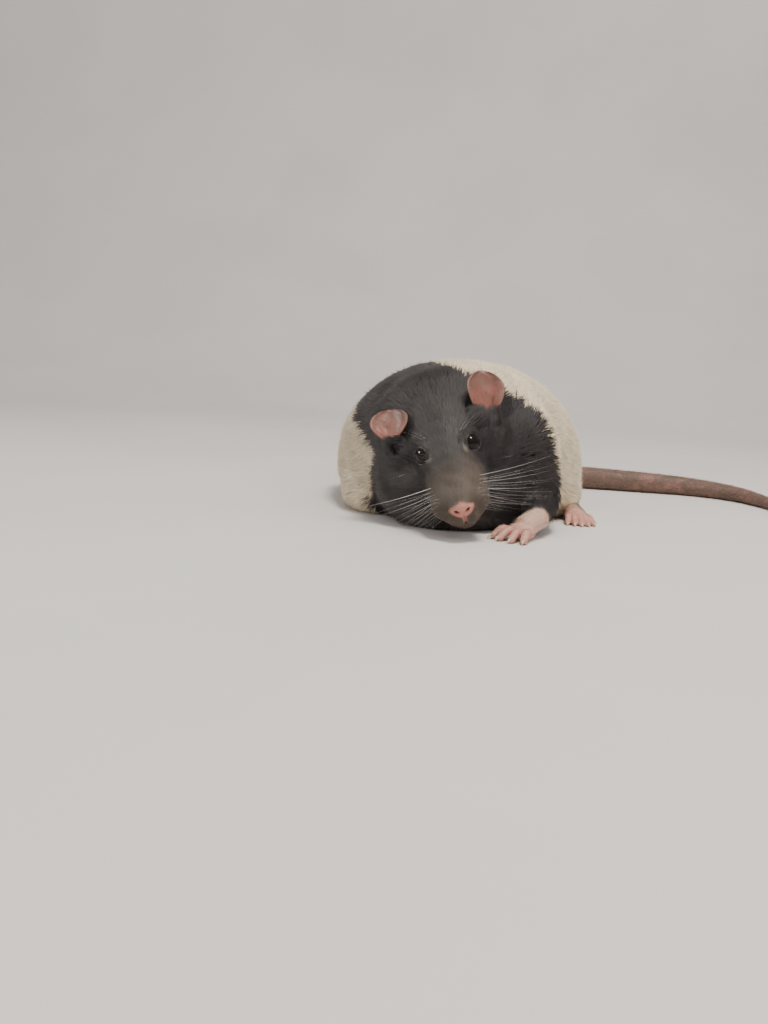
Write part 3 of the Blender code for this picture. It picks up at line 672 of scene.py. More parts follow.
def sculpt_eyes(points):
    """Sink the eyes' openings into their balls, and raise the lids round them."""
    for side in (1, -1):
        centre = np.array(eye_axes(side)[0])
        place = lid_place(points, side)
        rel = points - centre
        radius = np.linalg.norm(rel, axis=1)
        lid = graded(place, LID_PROFILE)
        hold = 1 - eased(place, 1.35, 2.0)
        near = (radius < 9) & (place < 2.0)
        wanted = radius * (1 - hold) + lid * hold
        points = np.where(near[:, None], centre + unit(rel) * wanted[:, None], points)
    return points


def sculpt_face(points, normals):
    """The mouth's line and lips, the lip's parting, the nostrils and folds behind the nose."""
    local = in_head(points)
    front = eased(-local[:, 1], 8, 12)
    mouth = distance_to_route(local, smooth_rows(MOUTH_LINE, 25))
    parting = distance_to_route(local, smooth_rows(LIP_PARTING, 12))
    push = -1.0 * groove(mouth, 0.42) + 0.28 * groove(mouth - 1.1, 0.55)
    push += -0.75 * groove(parting, 0.36) * eased(-local[:, 1], 22, 24)
    wing = 0.22 * np.exp(-(((np.abs(local[:, 0]) - 2.6) / 0.5) ** 2 + ((local[:, 2] + 8.2) / 1.8) ** 2))
    push += (wing * eased(-local[:, 1], 24, 26)) * front
    points = points + normals * (push * front)[:, None]
    inwards = HEAD_AXES @ np.array((0, 1.0, 0))
    for side in (1, -1):
        x, z = local[:, 0] * side - NOSTRIL[0], local[:, 2] - NOSTRIL[2]
        long_way = x * math.cos(NOSTRIL_SLANT) + z * math.sin(NOSTRIL_SLANT)
        short_way = -x * math.sin(NOSTRIL_SLANT) + z * math.cos(NOSTRIL_SLANT)
        hole = np.exp(-(((long_way / 0.85) ** 2 + (short_way / 0.45) ** 2) ** 1.6)) * (local[:, 1] < -25)
        points = points + inwards * (1.5 * hole)[:, None]
    return points


def cut_flat(mesh):
    """Cut the body off at the floor, with a flat underside."""
    shape = bmesh.new()
    shape.from_mesh(mesh)
    everything = shape.verts[:] + shape.edges[:] + shape.faces[:]
    bmesh.ops.bisect_plane(
        shape, geom=everything, plane_co=(0, 0, FLOOR_GAP), plane_no=(0, 0, 1), clear_inner=True
    )
    rim = [edge for edge in shape.edges if edge.is_boundary]
    bmesh.ops.holes_fill(shape, edges=rim, sides=0)
    shape.to_mesh(mesh)
    shape.free()
    mesh.update()


def hood_mask(points):
    """1 on the dark hood and 0 on the pale body, with a ragged edge."""
    around = np.degrees(np.arctan2(points[:, 0] - HOOD_AXIS[0], points[:, 2] - HOOD_AXIS[1]))
    out = np.hypot(points[:, 0] - HOOD_AXIS[0], points[:, 2] - HOOD_AXIS[1])
    edge = graded(around, HOOD_EDGE) + 1.7 * ripple(points, 14, 3) + 0.9 * ripple(points, 4.5, 4)
    mask = 1 - eased(points[:, 1] + HOOD_FLARE * out - edge, -1.0, 1.0)
    sock = np.linalg.norm((points - np.array(SOCK_AT)) / np.array(SOCK_RADII), axis=1)
    local = in_head(points)
    spots = np.zeros(len(points))
    for side in (1, -1):
        spot = np.array((EYE_SPOT[0] * side, *EYE_SPOT[1:]))
        near = np.linalg.norm((local - spot) / np.array(EYE_SPOT_RADII), axis=1)
        spots = np.maximum(spots, 1 - eased(near, 0.4, 1.2))
    return mask * eased(sock, 0.9, 1.1) * (1 - 0.2 * spots)


def muzzle_mask(points):
    """1 on the paler, browner muzzle."""
    local = in_head(points)
    down = eased(-local[:, 2], -3.0, 3.5)
    fade = eased(-local[:, 1] + 1.2 * ripple(points, 5, 9), 6, 15)
    return fade * (0.32 + 0.68 * down) * (1 - 0.1 * eased(-local[:, 2], 15, 19))


def brow_sheen_mask(points):
    """1 where a greyer sheen is painted on the forehead and the crown."""
    local = in_head(points)
    up = eased(local[:, 2], -3, 5)
    middle = 1 - eased(np.abs(local[:, 0] + 1.5 * ripple(points, 16, 8)), 5, 13)
    return up * middle * eased(-local[:, 1], -30, -14) * (1 - eased(-local[:, 1], 12, 20))


def nose_mask(points):
    """1 on the bare nose leather."""
    local = in_head(points)
    wide = 4.3 - 0.22 * np.clip(local[:, 2] + 8.6, -3, 3) ** 2
    pad = np.sqrt((local[:, 0] / wide) ** 2 + ((local[:, 2] + 8.5) / 3.0) ** 2)
    pad = pad + 0.03 * ripple(points, 1.6, 31)
    strip = np.abs(local[:, 0]) / 0.7 + eased(np.abs(local[:, 2] + 12.0), 2.0, 3.0) * 2
    face_on = eased(-local[:, 1], 22.8, 24.4)
    return np.maximum(1 - eased(pad, 0.80, 1.16), 0.8 * (1 - eased(strip, 0.7, 1.3))) * face_on


def make_skin(surface):
    """The one skin under the whole coat."""
    outer, out_ways = points_of(surface.data), normals_of(surface.data)
    depth = coat_depth(outer)
    points = outer - out_ways * depth[:, None]
    points = sculpt_eyes(points)
    points = sculpt_face(points, out_ways)
    mesh = surface.data.copy()
    set_points(mesh, points)
    cut_flat(mesh)
    made = new_object("skin", mesh)
    made.vertex_groups.clear()
    return made


# Hair as solid tufts: a blade is a three-sided spike with a bend, a spike is straight. Both are given as
# triangles of a tuft's own points, with how far along the hair each point is.

BLADE = np.array((
    (0, 1, 2), (1, 0, 3), (1, 3, 4), (2, 1, 4), (2, 4, 5),
    (0, 2, 5), (0, 5, 3), (4, 3, 6), (5, 4, 6), (3, 5, 6),
))
SPIKE = np.array(((0, 1, 2), (1, 0, 3), (2, 1, 3), (0, 2, 3)))
BLADE_ALONG = np.array((0, 0, 0, 0.55, 0.55, 0.55, 1.0))
SPIKE_ALONG = np.array((0, 0, 0, 1.0))
PATCH = 0.003
ROOT_SUNK = 0.3
TUFT_THICKNESS = 0.7
OWN_SHADING = 0.45
SKIN_SHADING = 0.85
LIE_SHADING = 0.12


def scatter(points, normals, triangles, per_mm2, seed):
    """Seeded random places on a skin, as close as per_mm2 asks in each triangle."""
    draw = np.random.default_rng(seed)
    corners = points[triangles]
    sides = corners[:, 1:] - corners[:, :1]
    areas = 0.5 * np.linalg.norm(np.cross(sides[:, 0], sides[:, 1]), axis=1)
    wanted = areas * per_mm2(corners.mean(axis=1), unit(normals[triangles].mean(axis=1)))
    count = np.floor(wanted + draw.random(len(wanted))).astype(int)
    chosen = np.repeat(np.arange(len(triangles)), count)
    u, v = draw.random(len(chosen)), draw.random(len(chosen))
    over = u + v > 1
    u[over], v[over] = 1 - u[over], 1 - v[over]
    shares = np.stack([1 - u - v, u, v], axis=1)[:, :, None]
    roots = (points[triangles[chosen]] * shares).sum(axis=1)
    ways = unit((normals[triangles[chosen]] * shares).sum(axis=1))
    return roots, ways


def nearest(tree, points):
    """The nearest places on a surface, and the ways that it faces there."""
    found, ways = np.empty_like(points), np.empty_like(points)
    for i, point in enumerate(points):
        place, way, _, _ = tree.find_nearest(point)
        found[i], ways[i] = place, way
    return found, ways


def lie_of_coat(roots, normals, seed):
    """Which way the hair lies: back from the nose, down the flanks and out along the legs."""
    count = len(roots)
    local = in_head(roots)
    outwards = np.sign(local[:, 0]) * eased(np.abs(local[:, 0]), 2, 14) * 0.35
    down = -0.15 - 0.25 * eased(-local[:, 2], 4, 16)
    on_face = np.stack([outwards, np.ones(count), down], axis=1) @ HEAD_AXES.T
    steep = np.abs(normals[:, 0])
    on_trunk = np.stack([
        0.10 * normals[:, 0],
        1.0 - 0.55 * normals[:, 1].clip(0, 1),
        -(0.42 * steep + 1.3 * normals[:, 1].clip(0, 1)),
    ], axis=1)
    behind = off_head(roots)[:, None]
    way = unit(on_face) * (1 - behind) + unit(on_trunk) * behind
    for arm in (LEFT_ARM, RIGHT_ARM, LEFT_SHANK, RIGHT_SHANK):
        ahead = unit(np.array(arm[-1], float) - np.array(arm[1], float))
        near = distance_to_route(roots, np.array(arm[1:], float))
        share = (1 - eased(near, 5.5, 9.5))[:, None] * behind
        way = way * (1 - share) + ahead * share
    wobble = np.stack([ripple(roots, 9, seed + k) for k in range(3)], axis=1)
    fine = np.stack([ripple(roots, 3.0, seed + 5 + k) for k in range(3)], axis=1)
    draw = np.random.default_rng(seed + 9)
    way = way + 0.13 * wobble + 0.12 * fine + draw.normal(0, 0.10, (count, 3))
    return unit(way - normals * dots(way, normals))


def tuft_mesh(name, roots, normals, tips, middles, width, straight=False):
    """Many thin closed tufts as one mesh, with their shading eased towards the skin's."""
    count = len(roots)
    lie = unit(tips - roots)
    across = unit(np.cross(lie, normals))
    top = unit(np.cross(across, lie))
    base = roots - normals * ROOT_SUNK
    half = (width / 2)[:, None]

    def ring(centre, share):
        beside = across * half * share
        return [centre - beside, centre + beside, centre + top * half * share * TUFT_THICKNESS]

    if straight:
        parts = [*ring(base, 1.0), tips]
        pattern, along = SPIKE, SPIKE_ALONG
    else:
        parts = [*ring(base, 0.7), *ring(middles, 1.0), tips]
        pattern, along = BLADE, BLADE_ALONG
    size = len(parts)
    points = np.stack(parts, axis=1).reshape(-1, 3)
    points[:, 2] = np.maximum(points[:, 2], FLOOR_GAP)
    triangles = (pattern[None] + (np.arange(count) * size)[:, None, None]).reshape(-1, 3)
    mesh = mesh_of_triangles(name, points, triangles)
    own = np.stack([-across, across, top] * (1 if straight else 2) + [top], axis=1)
    shading = unit(own * OWN_SHADING + normals[:, None] * SKIN_SHADING + lie[:, None] * LIE_SHADING)
    mesh.normals_split_custom_set_from_vertices(shading.reshape(-1, 3))
    return mesh, size, along


def tuft_piece(name, roots, normals, tips, middles, width, flat, marks, material, straight=False):
    """Tufts as one piece, with a patch each at its root's place on the unwrap, and the skin's markings."""
    mesh, size, along = tuft_mesh(name, roots, normals, tips, middles, width, straight)
    low, high = flat.min(axis=0), flat.max(axis=0)
    place = 0.01 + 0.98 * (flat - low) / (high - low)
    sides = np.array(((0, 0), (1, 0), (0.5, 0)) * 2)[: size - 1]
    offsets = np.vstack([sides, (0.5, 0)])
    offsets[:, 1] = along
    uv = (place[:, None] + (offsets[None] - 0.5) * PATCH).reshape(-1, 2)
    layer = mesh.uv_layers.new(name="OFBake")
    corners = np.empty(len(mesh.loops), np.int32)
    mesh.loops.foreach_get("vertex_index", corners)
    layer.data.foreach_set("uv", uv[corners].astype(np.float32).ravel())
    for label, values in marks.items():
        mark(mesh, label, np.repeat(values, size))
    mark(mesh, "along", np.tile(along, len(roots)))
    mesh.materials.append(material)
    return new_object(name, mesh)


def trunk_flat(points):
    """Where points are on an unwrap of the trunk: around it, and along it."""
    around = np.arctan2(points[:, 0] + 3, points[:, 2] - 12) / (2 * math.pi)
    return np.stack([around, points[:, 1] / 200], axis=1)


def head_flat(points):
    """Where points are on an unwrap of the head: around it, and along it."""
    local = in_head(points)
    around = np.arctan2(local[:, 0], local[:, 2] + 7) / (2 * math.pi)
    return np.stack([around, local[:, 1] / 60], axis=1)


def coat_marks(roots, seed):
    """The markings at the hairs' roots, and each hair's own shade."""
    draw = np.random.default_rng(seed)
    shade = np.clip(0.5 + 0.22 * ripple(roots, 6, 21) + draw.normal(0, 0.16, len(roots)), 0, 1)
    return {
        "hood": hood_mask(roots),
        "muzzle": muzzle_mask(roots),
        "brow": brow_sheen_mask(roots),
        "shade": shade,
    }


def bare_places(centres, ways):
    """1 where hair grows and 0 on the eyes, nose, mouth's line and flat underside."""
    keep = np.ones(len(centres))
    for side in (1, -1):
        place = lid_place(centres, side)
        keep *= place > 1.22
    keep *= nose_mask(centres) < 0.3
    local = in_head(centres)
    mouth = distance_to_route(local, smooth_rows(MOUTH_LINE, 13))
    keep *= mouth > 0.5
    keep *= ~((ways[:, 2] < -0.55) & (centres[:, 2] < 3.0))
    return keep * (centres[:, 2] > FLOOR_GAP + 0.05)


def grow_coat(name, places, tree, material, flat_map, seed, bands, stretch=1.0, thin=1.0, stand=0.0):
    """Tufts from roots on the skin to tips on the coat's outer face, in a few bands along the body.

    A hair that would lie straight across the back, or that leaves its lie to reach the outer face, is
    left out.
    """
    roots, normals = places
    draw = np.random.default_rng(seed)
    depth = coat_depth(roots)
    length = graded(depth, HAIR_LENGTH_BY_DEPTH) * draw.uniform(0.72, 1.22, len(roots)) * stretch
    for _, side, place in EARS:
        near = np.linalg.norm(roots - ear_axes(place, side)[0], axis=1)
        length = np.minimum(length, 2.2 + 0.5 * near)
    width = graded(depth, HAIR_WIDTH_BY_DEPTH) * draw.uniform(0.75, 1.25, len(roots)) * thin
    lie = lie_of_coat(roots, normals, LIE_SEED)
    outer, out_ways = nearest(tree, roots + lie * length[:, None])
    rise = draw.uniform(-0.42, 0.10, len(roots)) * depth + stand * draw.random(len(roots))
    tips = outer + out_ways * rise[:, None]
    middles = (roots + tips) / 2 + normals * (depth * draw.uniform(0.10, 0.30, len(roots)))[:, None]
    across = (np.abs(lie[:, 0]) > 0.8) & (roots[:, 2] > 35)
    fair = (dots(unit(tips - roots), lie)[:, 0] > 0.5) & ~across
    order = np.argsort(roots[:, 1], kind="stable")
    order = order[fair[order]]
    made = []
    for band, chosen in zip(bands, np.array_split(order, len(bands))):
        made.append(tuft_piece(
            name + band, roots[chosen], normals[chosen], tips[chosen], middles[chosen], width[chosen],
            flat_map(roots[chosen]), coat_marks(roots[chosen], seed + 1), material,
        ))
    return made


def make_coat(skin, surface, material):
    """All of the coat: the trunk's and the head's hair, short hair on the face, and long guard hairs."""
    points, normals, triangles = points_of(skin.data), normals_of(skin.data), triangles_of(skin.data)
    tree = BVHTree.FromObject(surface, bpy.context.evaluated_depsgraph_get())
    share = 1.0

    def by_depth(centres, ways):
        return graded(coat_depth(centres), HAIRS_PER_MM2) * bare_places(centres, ways)

    def is_head(centres):
        return off_head(centres) < 0.5

    def is_face(centres):
        return (in_head(centres)[:, 1] < 2) & is_head(centres)

    def body_close(centres, ways):
        return by_depth(centres, ways) * share * ~is_head(centres)

    def crown_close(centres, ways):
        return by_depth(centres, ways) * share * (is_head(centres) & ~is_face(centres))

    def face_close(centres, ways):
        return by_depth(centres, ways) * is_face(centres)

    def guard_close(centres, ways):
        return GUARD_HAIRS_PER_MM2 * bare_places(centres, ways) * (coat_depth(centres) > 1.2)

    parts = (
        ("coat", body_close, trunk_flat, TRUNK_BANDS, {}),
        ("coat_crown", crown_close, head_flat, ("_front", "_nape"), {}),
        ("coat_face", face_close, head_flat, ("_muzzle", "_cheeks"), {}),
        ("coat_guard_hairs", guard_close, trunk_flat, ("",), GUARD_HAIR_HABIT),
    )
    made = []
    for k, (name, close, flat_map, bands, habit) in enumerate(parts):
        places = scatter(points, normals, triangles, close, ROOT_SEED + k)
        made += grow_coat(name, places, tree, material, flat_map, COAT_SEED + k, bands, **habit)
    return made


def make_ear_brushes(skin, material):
    """Longer hair that stands up round the front of each ear and closes over its root.

    The roots' bearings round the ear are ranked, so that the tips fan out evenly over the cup's edge.
    """
    points, normals, triangles = points_of(skin.data), normals_of(skin.data), triangles_of(skin.data)
    made = []
    for name, side, place in EARS:
        root, up, looks, beside = ear_axes(place, side)
        cup = place["half_width"] * place["base_share"] / EAR_CURL[0]
        middle = root + looks * cup
        hairs, lowest, highest, fan = place["brush"]

        def close(centres, ways):
            rel = centres - middle
            away = np.abs(np.hypot(rel @ looks, rel @ beside) - cup - 0.9)
            level = rel @ up
            return hairs * ((away < 4.0) & (level > -7.0) & (level < 1.5) & (rel @ looks > -3.5))

        roots, ways = scatter(points, normals, triangles, close, BRUSH_SEED)
        draw = np.random.default_rng(BRUSH_SEED + 1)
        count = len(roots)
        rel = roots - middle
        bearing = np.arctan2(rel @ beside, rel @ looks)
        rank = np.argsort(np.argsort(bearing, kind="stable"), kind="stable")
        turn = (fan * (2 * rank / count - 1) + draw.normal(0, 0.12, count))[:, None]
        out = looks * np.cos(turn) + beside * np.sin(turn)
        level = draw.uniform(lowest, highest, (count, 1))
        tips = middle + out * (cup + draw.uniform(0.3, 1.4, (count, 1))) + up * level
        middles = roots * 0.45 + tips * 0.55 + out * 0.5 + looks * 0.3
        keep = np.linalg.norm(tips - roots, axis=1) < 9.5
        roots, ways, tips, middles = roots[keep], ways[keep], tips[keep], middles[keep]
        width = draw.uniform(0.18, 0.30, len(roots))
        marks = coat_marks(roots, BRUSH_SEED + 2)
        marks["hood"] = np.ones(len(roots))
        made.append(tuft_piece(
            "coat_brush_" + name, roots, ways, tips, middles, width, head_flat(roots), marks, material
        ))
    return made


def strands(name, paths, radii, sides):
    """Thin round tapered hairs as one mesh: paths is hairs by points by 3, radii is hairs by points."""
    hairs, count = paths.shape[:2]
    along = unit(np.gradient(paths, axis=1))
    helper = np.where(np.abs(along[..., 2:3]) > 0.9, np.array((1.0, 0, 0)), np.array((0, 0, 1.0)))
    side = unit(np.cross(along, helper))
    up = np.cross(side, along)
    angle = 2 * math.pi * np.arange(sides) / sides
    spread = side[:, :, None] * np.cos(angle)[:, None] + up[:, :, None] * np.sin(angle)[:, None]
    points = paths[:, :, None] + spread * radii[:, :, None, None]
    points[..., 2] = np.maximum(points[..., 2], FLOOR_GAP)
    triangles = []
    for i in range(count - 1):
        for k in range(sides):
            a, b = i * sides + k, i * sides + (k + 1) % sides
            triangles += [(a, b, b + sides), (a, b + sides, a + sides)]
    last = (count - 1) * sides
    for k in range(1, sides - 1):
        triangles += [(0, k + 1, k), (last, last + k, last + k + 1)]
    pattern = np.array(triangles)
    stacked = (pattern[None] + (np.arange(hairs) * count * sides)[:, None, None]).reshape(-1, 3)
    mesh = mesh_of_triangles(name, points.reshape(-1, 3), stacked)
    return new_object(name, mesh)


# Eyes and lids

def make_eyeball(name, side, material):
    """A ball whose pole looks where the eye does."""
    centre, look, along, across = eye_axes(side)
    ball = ellipsoid(name, (0, 0, 0), (EYE_RADIUS,) * 3, detail=(64, 40))
    turn = Matrix((along, across, look)).transposed().to_4x4()
    moved(ball, Matrix.Translation(centre) @ turn)
    ball.data.shade_smooth()
    ball.data.materials.append(material)
    return finished(ball)


def make_lid_rims(material):
    """A thin smooth rim round each eye, thicker at the front corner."""
    pieces = []
    steps, sides, spread = 96, 10, 1.02
    turns = [2 * math.pi * j / sides for j in range(sides)]
    for side in (1, -1):
        centre, look, along, across = (np.array(v) for v in eye_axes(side))
        spots = []
        for k in range(steps):
            angle = 2 * math.pi * k / steps
            reach = math.cos(angle)
            rise = math.sin(angle) * (1 - CORNER_PINCH * abs(reach) ** 3)
            flat = along * (reach * LID_HALF_LENGTH * spread) + across * (rise * LID_HALF_HEIGHT * spread)
            out = math.sqrt(max(0.1, (EYE_RADIUS + 0.12) ** 2 - flat @ flat))
            thick = 0.22 + 0.14 * max(0, -reach) ** 6
            spots.append((centre + flat + look * out, thick))
        rings = []
        for k, (spot, thick) in enumerate(spots):
            ahead = unit(spots[(k + 1) % steps][0] - spots[k - 1][0])
            out = unit(spot - centre)
            beside = np.cross(ahead, out)
            rings.append([spot + (out * math.cos(a) + beside * math.sin(a)) * thick for a in turns])
        pieces.append(closed_ring("lid_rim", rings))
    rims = joined("lid_rims", pieces)
    rims.data.materials.append(material)
    rims.data.shade_smooth()
    return finished(rims)


# Ears

def make_ear(name, side, place, material):
    """A thin cupped leaf with a rolled rim, a fold at its front edge and low ridges inside."""
    root, up, looks, across = ear_axes(place, side)
    v = np.linspace(-EAR_SUNK, 1.0, EAR_ROWS)[:, None]
    u = np.linspace(-1, 1, EAR_COLUMNS)[None, :]
    t = np.maximum(v, 0)
    base = place["base_share"]
    dome = np.sqrt(np.maximum(0.012, 1 - ((t - 0.5) / 0.503) ** 2))
    share = np.where(t < 0.5, base + (1 - base) * np.sin(np.pi * t), dome)
    half = place["half_width"] * share
    curl = EAR_CURL[0] + (EAR_CURL[1] - EAR_CURL[0]) * np.minimum(1, t * 1.3)
    radius = half / curl
    theta = curl * u
    lean = EAR_LEAN * t * t
    s, c = np.sin(theta)[..., None], np.cos(theta)[..., None]
    inwards = looks * c - across * s
    middle = root + up * (v * place["height"])[..., None] - looks * lean[..., None]
    back = middle + across * (radius[..., None] * s) + looks * (radius[..., None] * (1 - c))
    edge = np.maximum(np.abs(u) ** 10, eased(v, 0.90, 1.0))
    thick = EAR_THICKNESS * (1.25 - 0.5 * t) * (1 + 0.25 * edge) * np.sqrt(np.clip(1.05 - edge**3, 0.12, 1))
    ridges = 0.16 * np.sin(u * 9 + 2.2 * v) * eased(0.75 - v, 0, 0.5) * (1 - edge)
    fold = 0.55 * groove(u - 0.62 * side, 0.10) * eased(0.55 - v, 0, 0.4)
    wavy = 0.10 * np.sin(v * 14 + u * 5)
    relief = np.minimum(thick, radius * 0.7) + ridges + fold + wavy * (1 - edge)
    front = back + inwards * relief[..., None]
    back = back + inwards * (0.06 * edge + 0.6 * wavy * (1 - edge))[..., None]
    shape = bmesh.new()
    behind = [[shape.verts.new(p) for p in row] for row in back]
    inside = [[shape.verts.new(p) for p in row] for row in front]
    for i in range(EAR_ROWS - 1):
        for j in range(EAR_COLUMNS - 1):
            shape.faces.new((behind[i][j], behind[i][j + 1], behind[i + 1][j + 1], behind[i + 1][j]))
            shape.faces.new((inside[i][j], inside[i + 1][j], inside[i + 1][j + 1], inside[i][j + 1]))
        for j in (0, EAR_COLUMNS - 1):
            shape.faces.new((behind[i][j], behind[i + 1][j], inside[i + 1][j], inside[i][j]))
    for i in (0, EAR_ROWS - 1):
        for j in range(EAR_COLUMNS - 1):
            shape.faces.new((behind[i][j], inside[i][j], inside[i][j + 1], behind[i][j + 1]))
    bmesh.ops.recalc_face_normals(shape, faces=shape.faces)
    made = object_of_shape(name, shape)
    flush = (1 - eased(t, 0.1, 0.75)) * (1 - 0.5 * np.abs(u))
    mark(made.data, "flush", np.concatenate([0.3 * flush.ravel(), flush.ravel()]))
    mark(made.data, "inner", np.repeat((0, 1), EAR_ROWS * EAR_COLUMNS))
    made.data.shade_smooth()
    made.data.materials.append(material)
    return finished(made)


def make_ear_fuzz(ears, material):
    """Very short fine hair over the backs and rims of the ears."""
    made = []
    for ear in ears:
        points, normals, triangles = points_of(ear.data) / MM, normals_of(ear.data), triangles_of(ear.data)
        outside = triangles[values_of(ear.data, "inner")[triangles].mean(axis=1) < 0.4]
        roots, ways = scatter(points, normals, outside, lambda c, w: np.full(len(c), 9.0), FUZZ_SEED)
        draw = np.random.default_rng(FUZZ_SEED + 1)
        lie = np.array(head_direction((0, 0.75, 0.65)))
        lie = unit(lie - ways * dots(ways, lie[None]))
        length = draw.uniform(0.7, 1.5, len(roots))[:, None]
        tips = roots + unit(lie + ways * 0.35) * length
        width = np.full(len(roots), 0.085)
        marks = {"hood": np.ones(len(roots)), "muzzle": np.full(len(roots), 0.5)}
        marks.update({"brow": np.zeros(len(roots)), "shade": draw.random(len(roots))})
        made.append(tuft_piece(
            ear.name + "_fuzz", roots, ways, tips, tips, width, head_flat(roots), marks, material, True
        ))
    return made


# Feet

def toe_and_claw(x, fan, reach, start_y, start_z, drop):
    """The middle lines of one toe and of its claw, in the foot's own frame."""
    turn = math.radians(fan)
    ahead = Vector((math.sin(turn), -math.cos(turn), 0))
    start = Vector((x, start_y, start_z))
    knuckle = start + ahead * (reach * 0.5) + Vector((0, 0, 0.35))
    tip = start + ahead * reach - Vector((0, 0, drop))
    claw_end = tip + ahead * CLAW_LENGTH - Vector((0, 0, 0.9))
    bend = (tip + claw_end) / 2 + Vector((0, 0, 0.5))
    return (start, knuckle, tip), (tip - ahead * 0.6, bend, claw_end)


def make_foot(name, spot, heading, form):
    """One foot's skin, with creases over its toes, and its claws, in millimetres."""
    pieces = [limb("shank", *form["shank"]), ellipsoid("sole", *form["sole"], detail=(28, 18))]
    radii = form["toe_radii"]
    claws = []
    for bend in form["toes"]:
        toe, claw = toe_and_claw(*bend, *form["toe_start"])
        pieces.append(limb("toe", toe, radii, 16, 10))
        pad_radii = [radii[2] + more for more in (0.05, 0.2, 0)]
        pieces.append(ellipsoid("toe_pad", toe[2] + Vector((0, 0, -0.1)), pad_radii, detail=(16, 10)))
        claws.append(limb("claw", claw, CLAW_RADII, 12, 10))
    place = Matrix.Translation((*spot, 0)) @ Matrix.Rotation(math.radians(heading), 4, "Z")

    def in_foot(points):
        return (points - np.array((*spot, 0))) @ np.array(place.to_3x3())

    foot = fuse(name, [moved(piece, place) for piece in pieces], FOOT_VOXEL)
    weight_group(foot, "all", np.ones(len(foot.data.vertices)))
    relax(foot, "all", 5)
    apply_modifiers(foot)
    foot.vertex_groups.clear()
    points, normals = points_of(foot.data), normals_of(foot.data)
    ahead = -in_foot(points)[:, 1]
    wave = np.sin(-ahead * 2 * math.pi / CREASE_STEP) * CREASE_DEPTH
    crease = wave * eased(normals[:, 2], 0.1, 0.7) * eased(ahead, *form["creases"])
    set_points(foot.data, points + normals * crease[:, None])
    cut_flat(foot.data)
    for claw in claws:
        cut_flat(moved(claw, place).data)
    past_knuckles = form["toe_start"][0] - in_foot(points_of(foot.data))[:, 1]
    mark(foot.data, "toes", eased(past_knuckles, -3.5, 3.0))
    return foot, claws


def make_feet(skin_material, claw_material, hair_material):
    """The four feet, all their claws as one piece, and the hair on each foot."""
    feet, claws, hair = [], [], []
    for spots, kind in ((FOREFEET, "fore"), (HINDFEET, "hind")):
        for name, spot, heading in spots:
            foot, nails = make_foot(name + "_skin", spot, heading, FOOT_FORMS[kind])
            foot.data.shade_smooth()
            foot.data.materials.append(skin_material)
            hair.append(make_foot_hair(foot, name + "_hair", heading, hair_material))
            feet.append((name, finished(foot)))
            claws += nails
    claws = joined("claws", claws)
    claws.data.shade_smooth()
    claws.data.materials.append(claw_material)
    return feet, finished(claws), hair


def make_foot_hair(foot, name, heading, material):
    """Short pale hair lying along the top of a foot, thinning out over the toes."""
    points, normals, triangles = points_of(foot.data), normals_of(foot.data), triangles_of(foot.data)
    above = triangles[normals[triangles].mean(axis=1)[:, 2] > -0.25]
    on_toes = values_of(foot.data, "toes")[above].mean(axis=1)
    roots, ways = scatter(points, normals, above, lambda c, w: 7.5 * (1 - 0.82 * on_toes), FOOT_HAIR_SEED)
    draw = np.random.default_rng(FOOT_HAIR_SEED + 1)
    turn = math.radians(heading)
    lie = np.array((math.sin(turn), -math.cos(turn), -0.12)) + draw.normal(0, 0.16, (len(roots), 3))
    lie = unit(lie - ways * dots(lie, ways))
    length = draw.uniform(1.2, 2.4, len(roots))[:, None]
    tips = roots + unit(lie + ways * 0.22) * length
    width = draw.uniform(0.12, 0.18, len(roots))
    marks = {label: np.zeros(len(roots)) for label in ("hood", "muzzle", "brow")}
    marks["shade"] = draw.uniform(0.5, 1, len(roots))
    middle = roots.mean(axis=0)
    around = np.arctan2(roots[:, 0] - middle[0], roots[:, 2] + 1) / (2 * math.pi)
    flat = np.stack([around, roots[:, 1] / 30], axis=1)
    return tuft_piece(name, roots, ways, tips, tips, width, flat, marks, material, True)


# Tail

def tail_rings(step):
    """Centres, ways along, up and beside, radii and runs at even steps along the tail."""
    rows = smooth_rows(TAIL_ROUTE, 400)
    runs = np.concatenate(([0], np.cumsum(np.linalg.norm(np.diff(rows[:, :3], axis=0), axis=1))))
    even = np.arange(0, runs[-1], step)
    read = np.stack([np.interp(even, runs, rows[:, k]) for k in range(4)], axis=1)
    centres, radii = read[:, :3], read[:, 3]
    along = unit(np.gradient(centres, axis=0))
    beside = unit(np.cross(along, np.array((0, 0, 1.0))))
    return centres, along, beside, np.cross(beside, along), radii, even


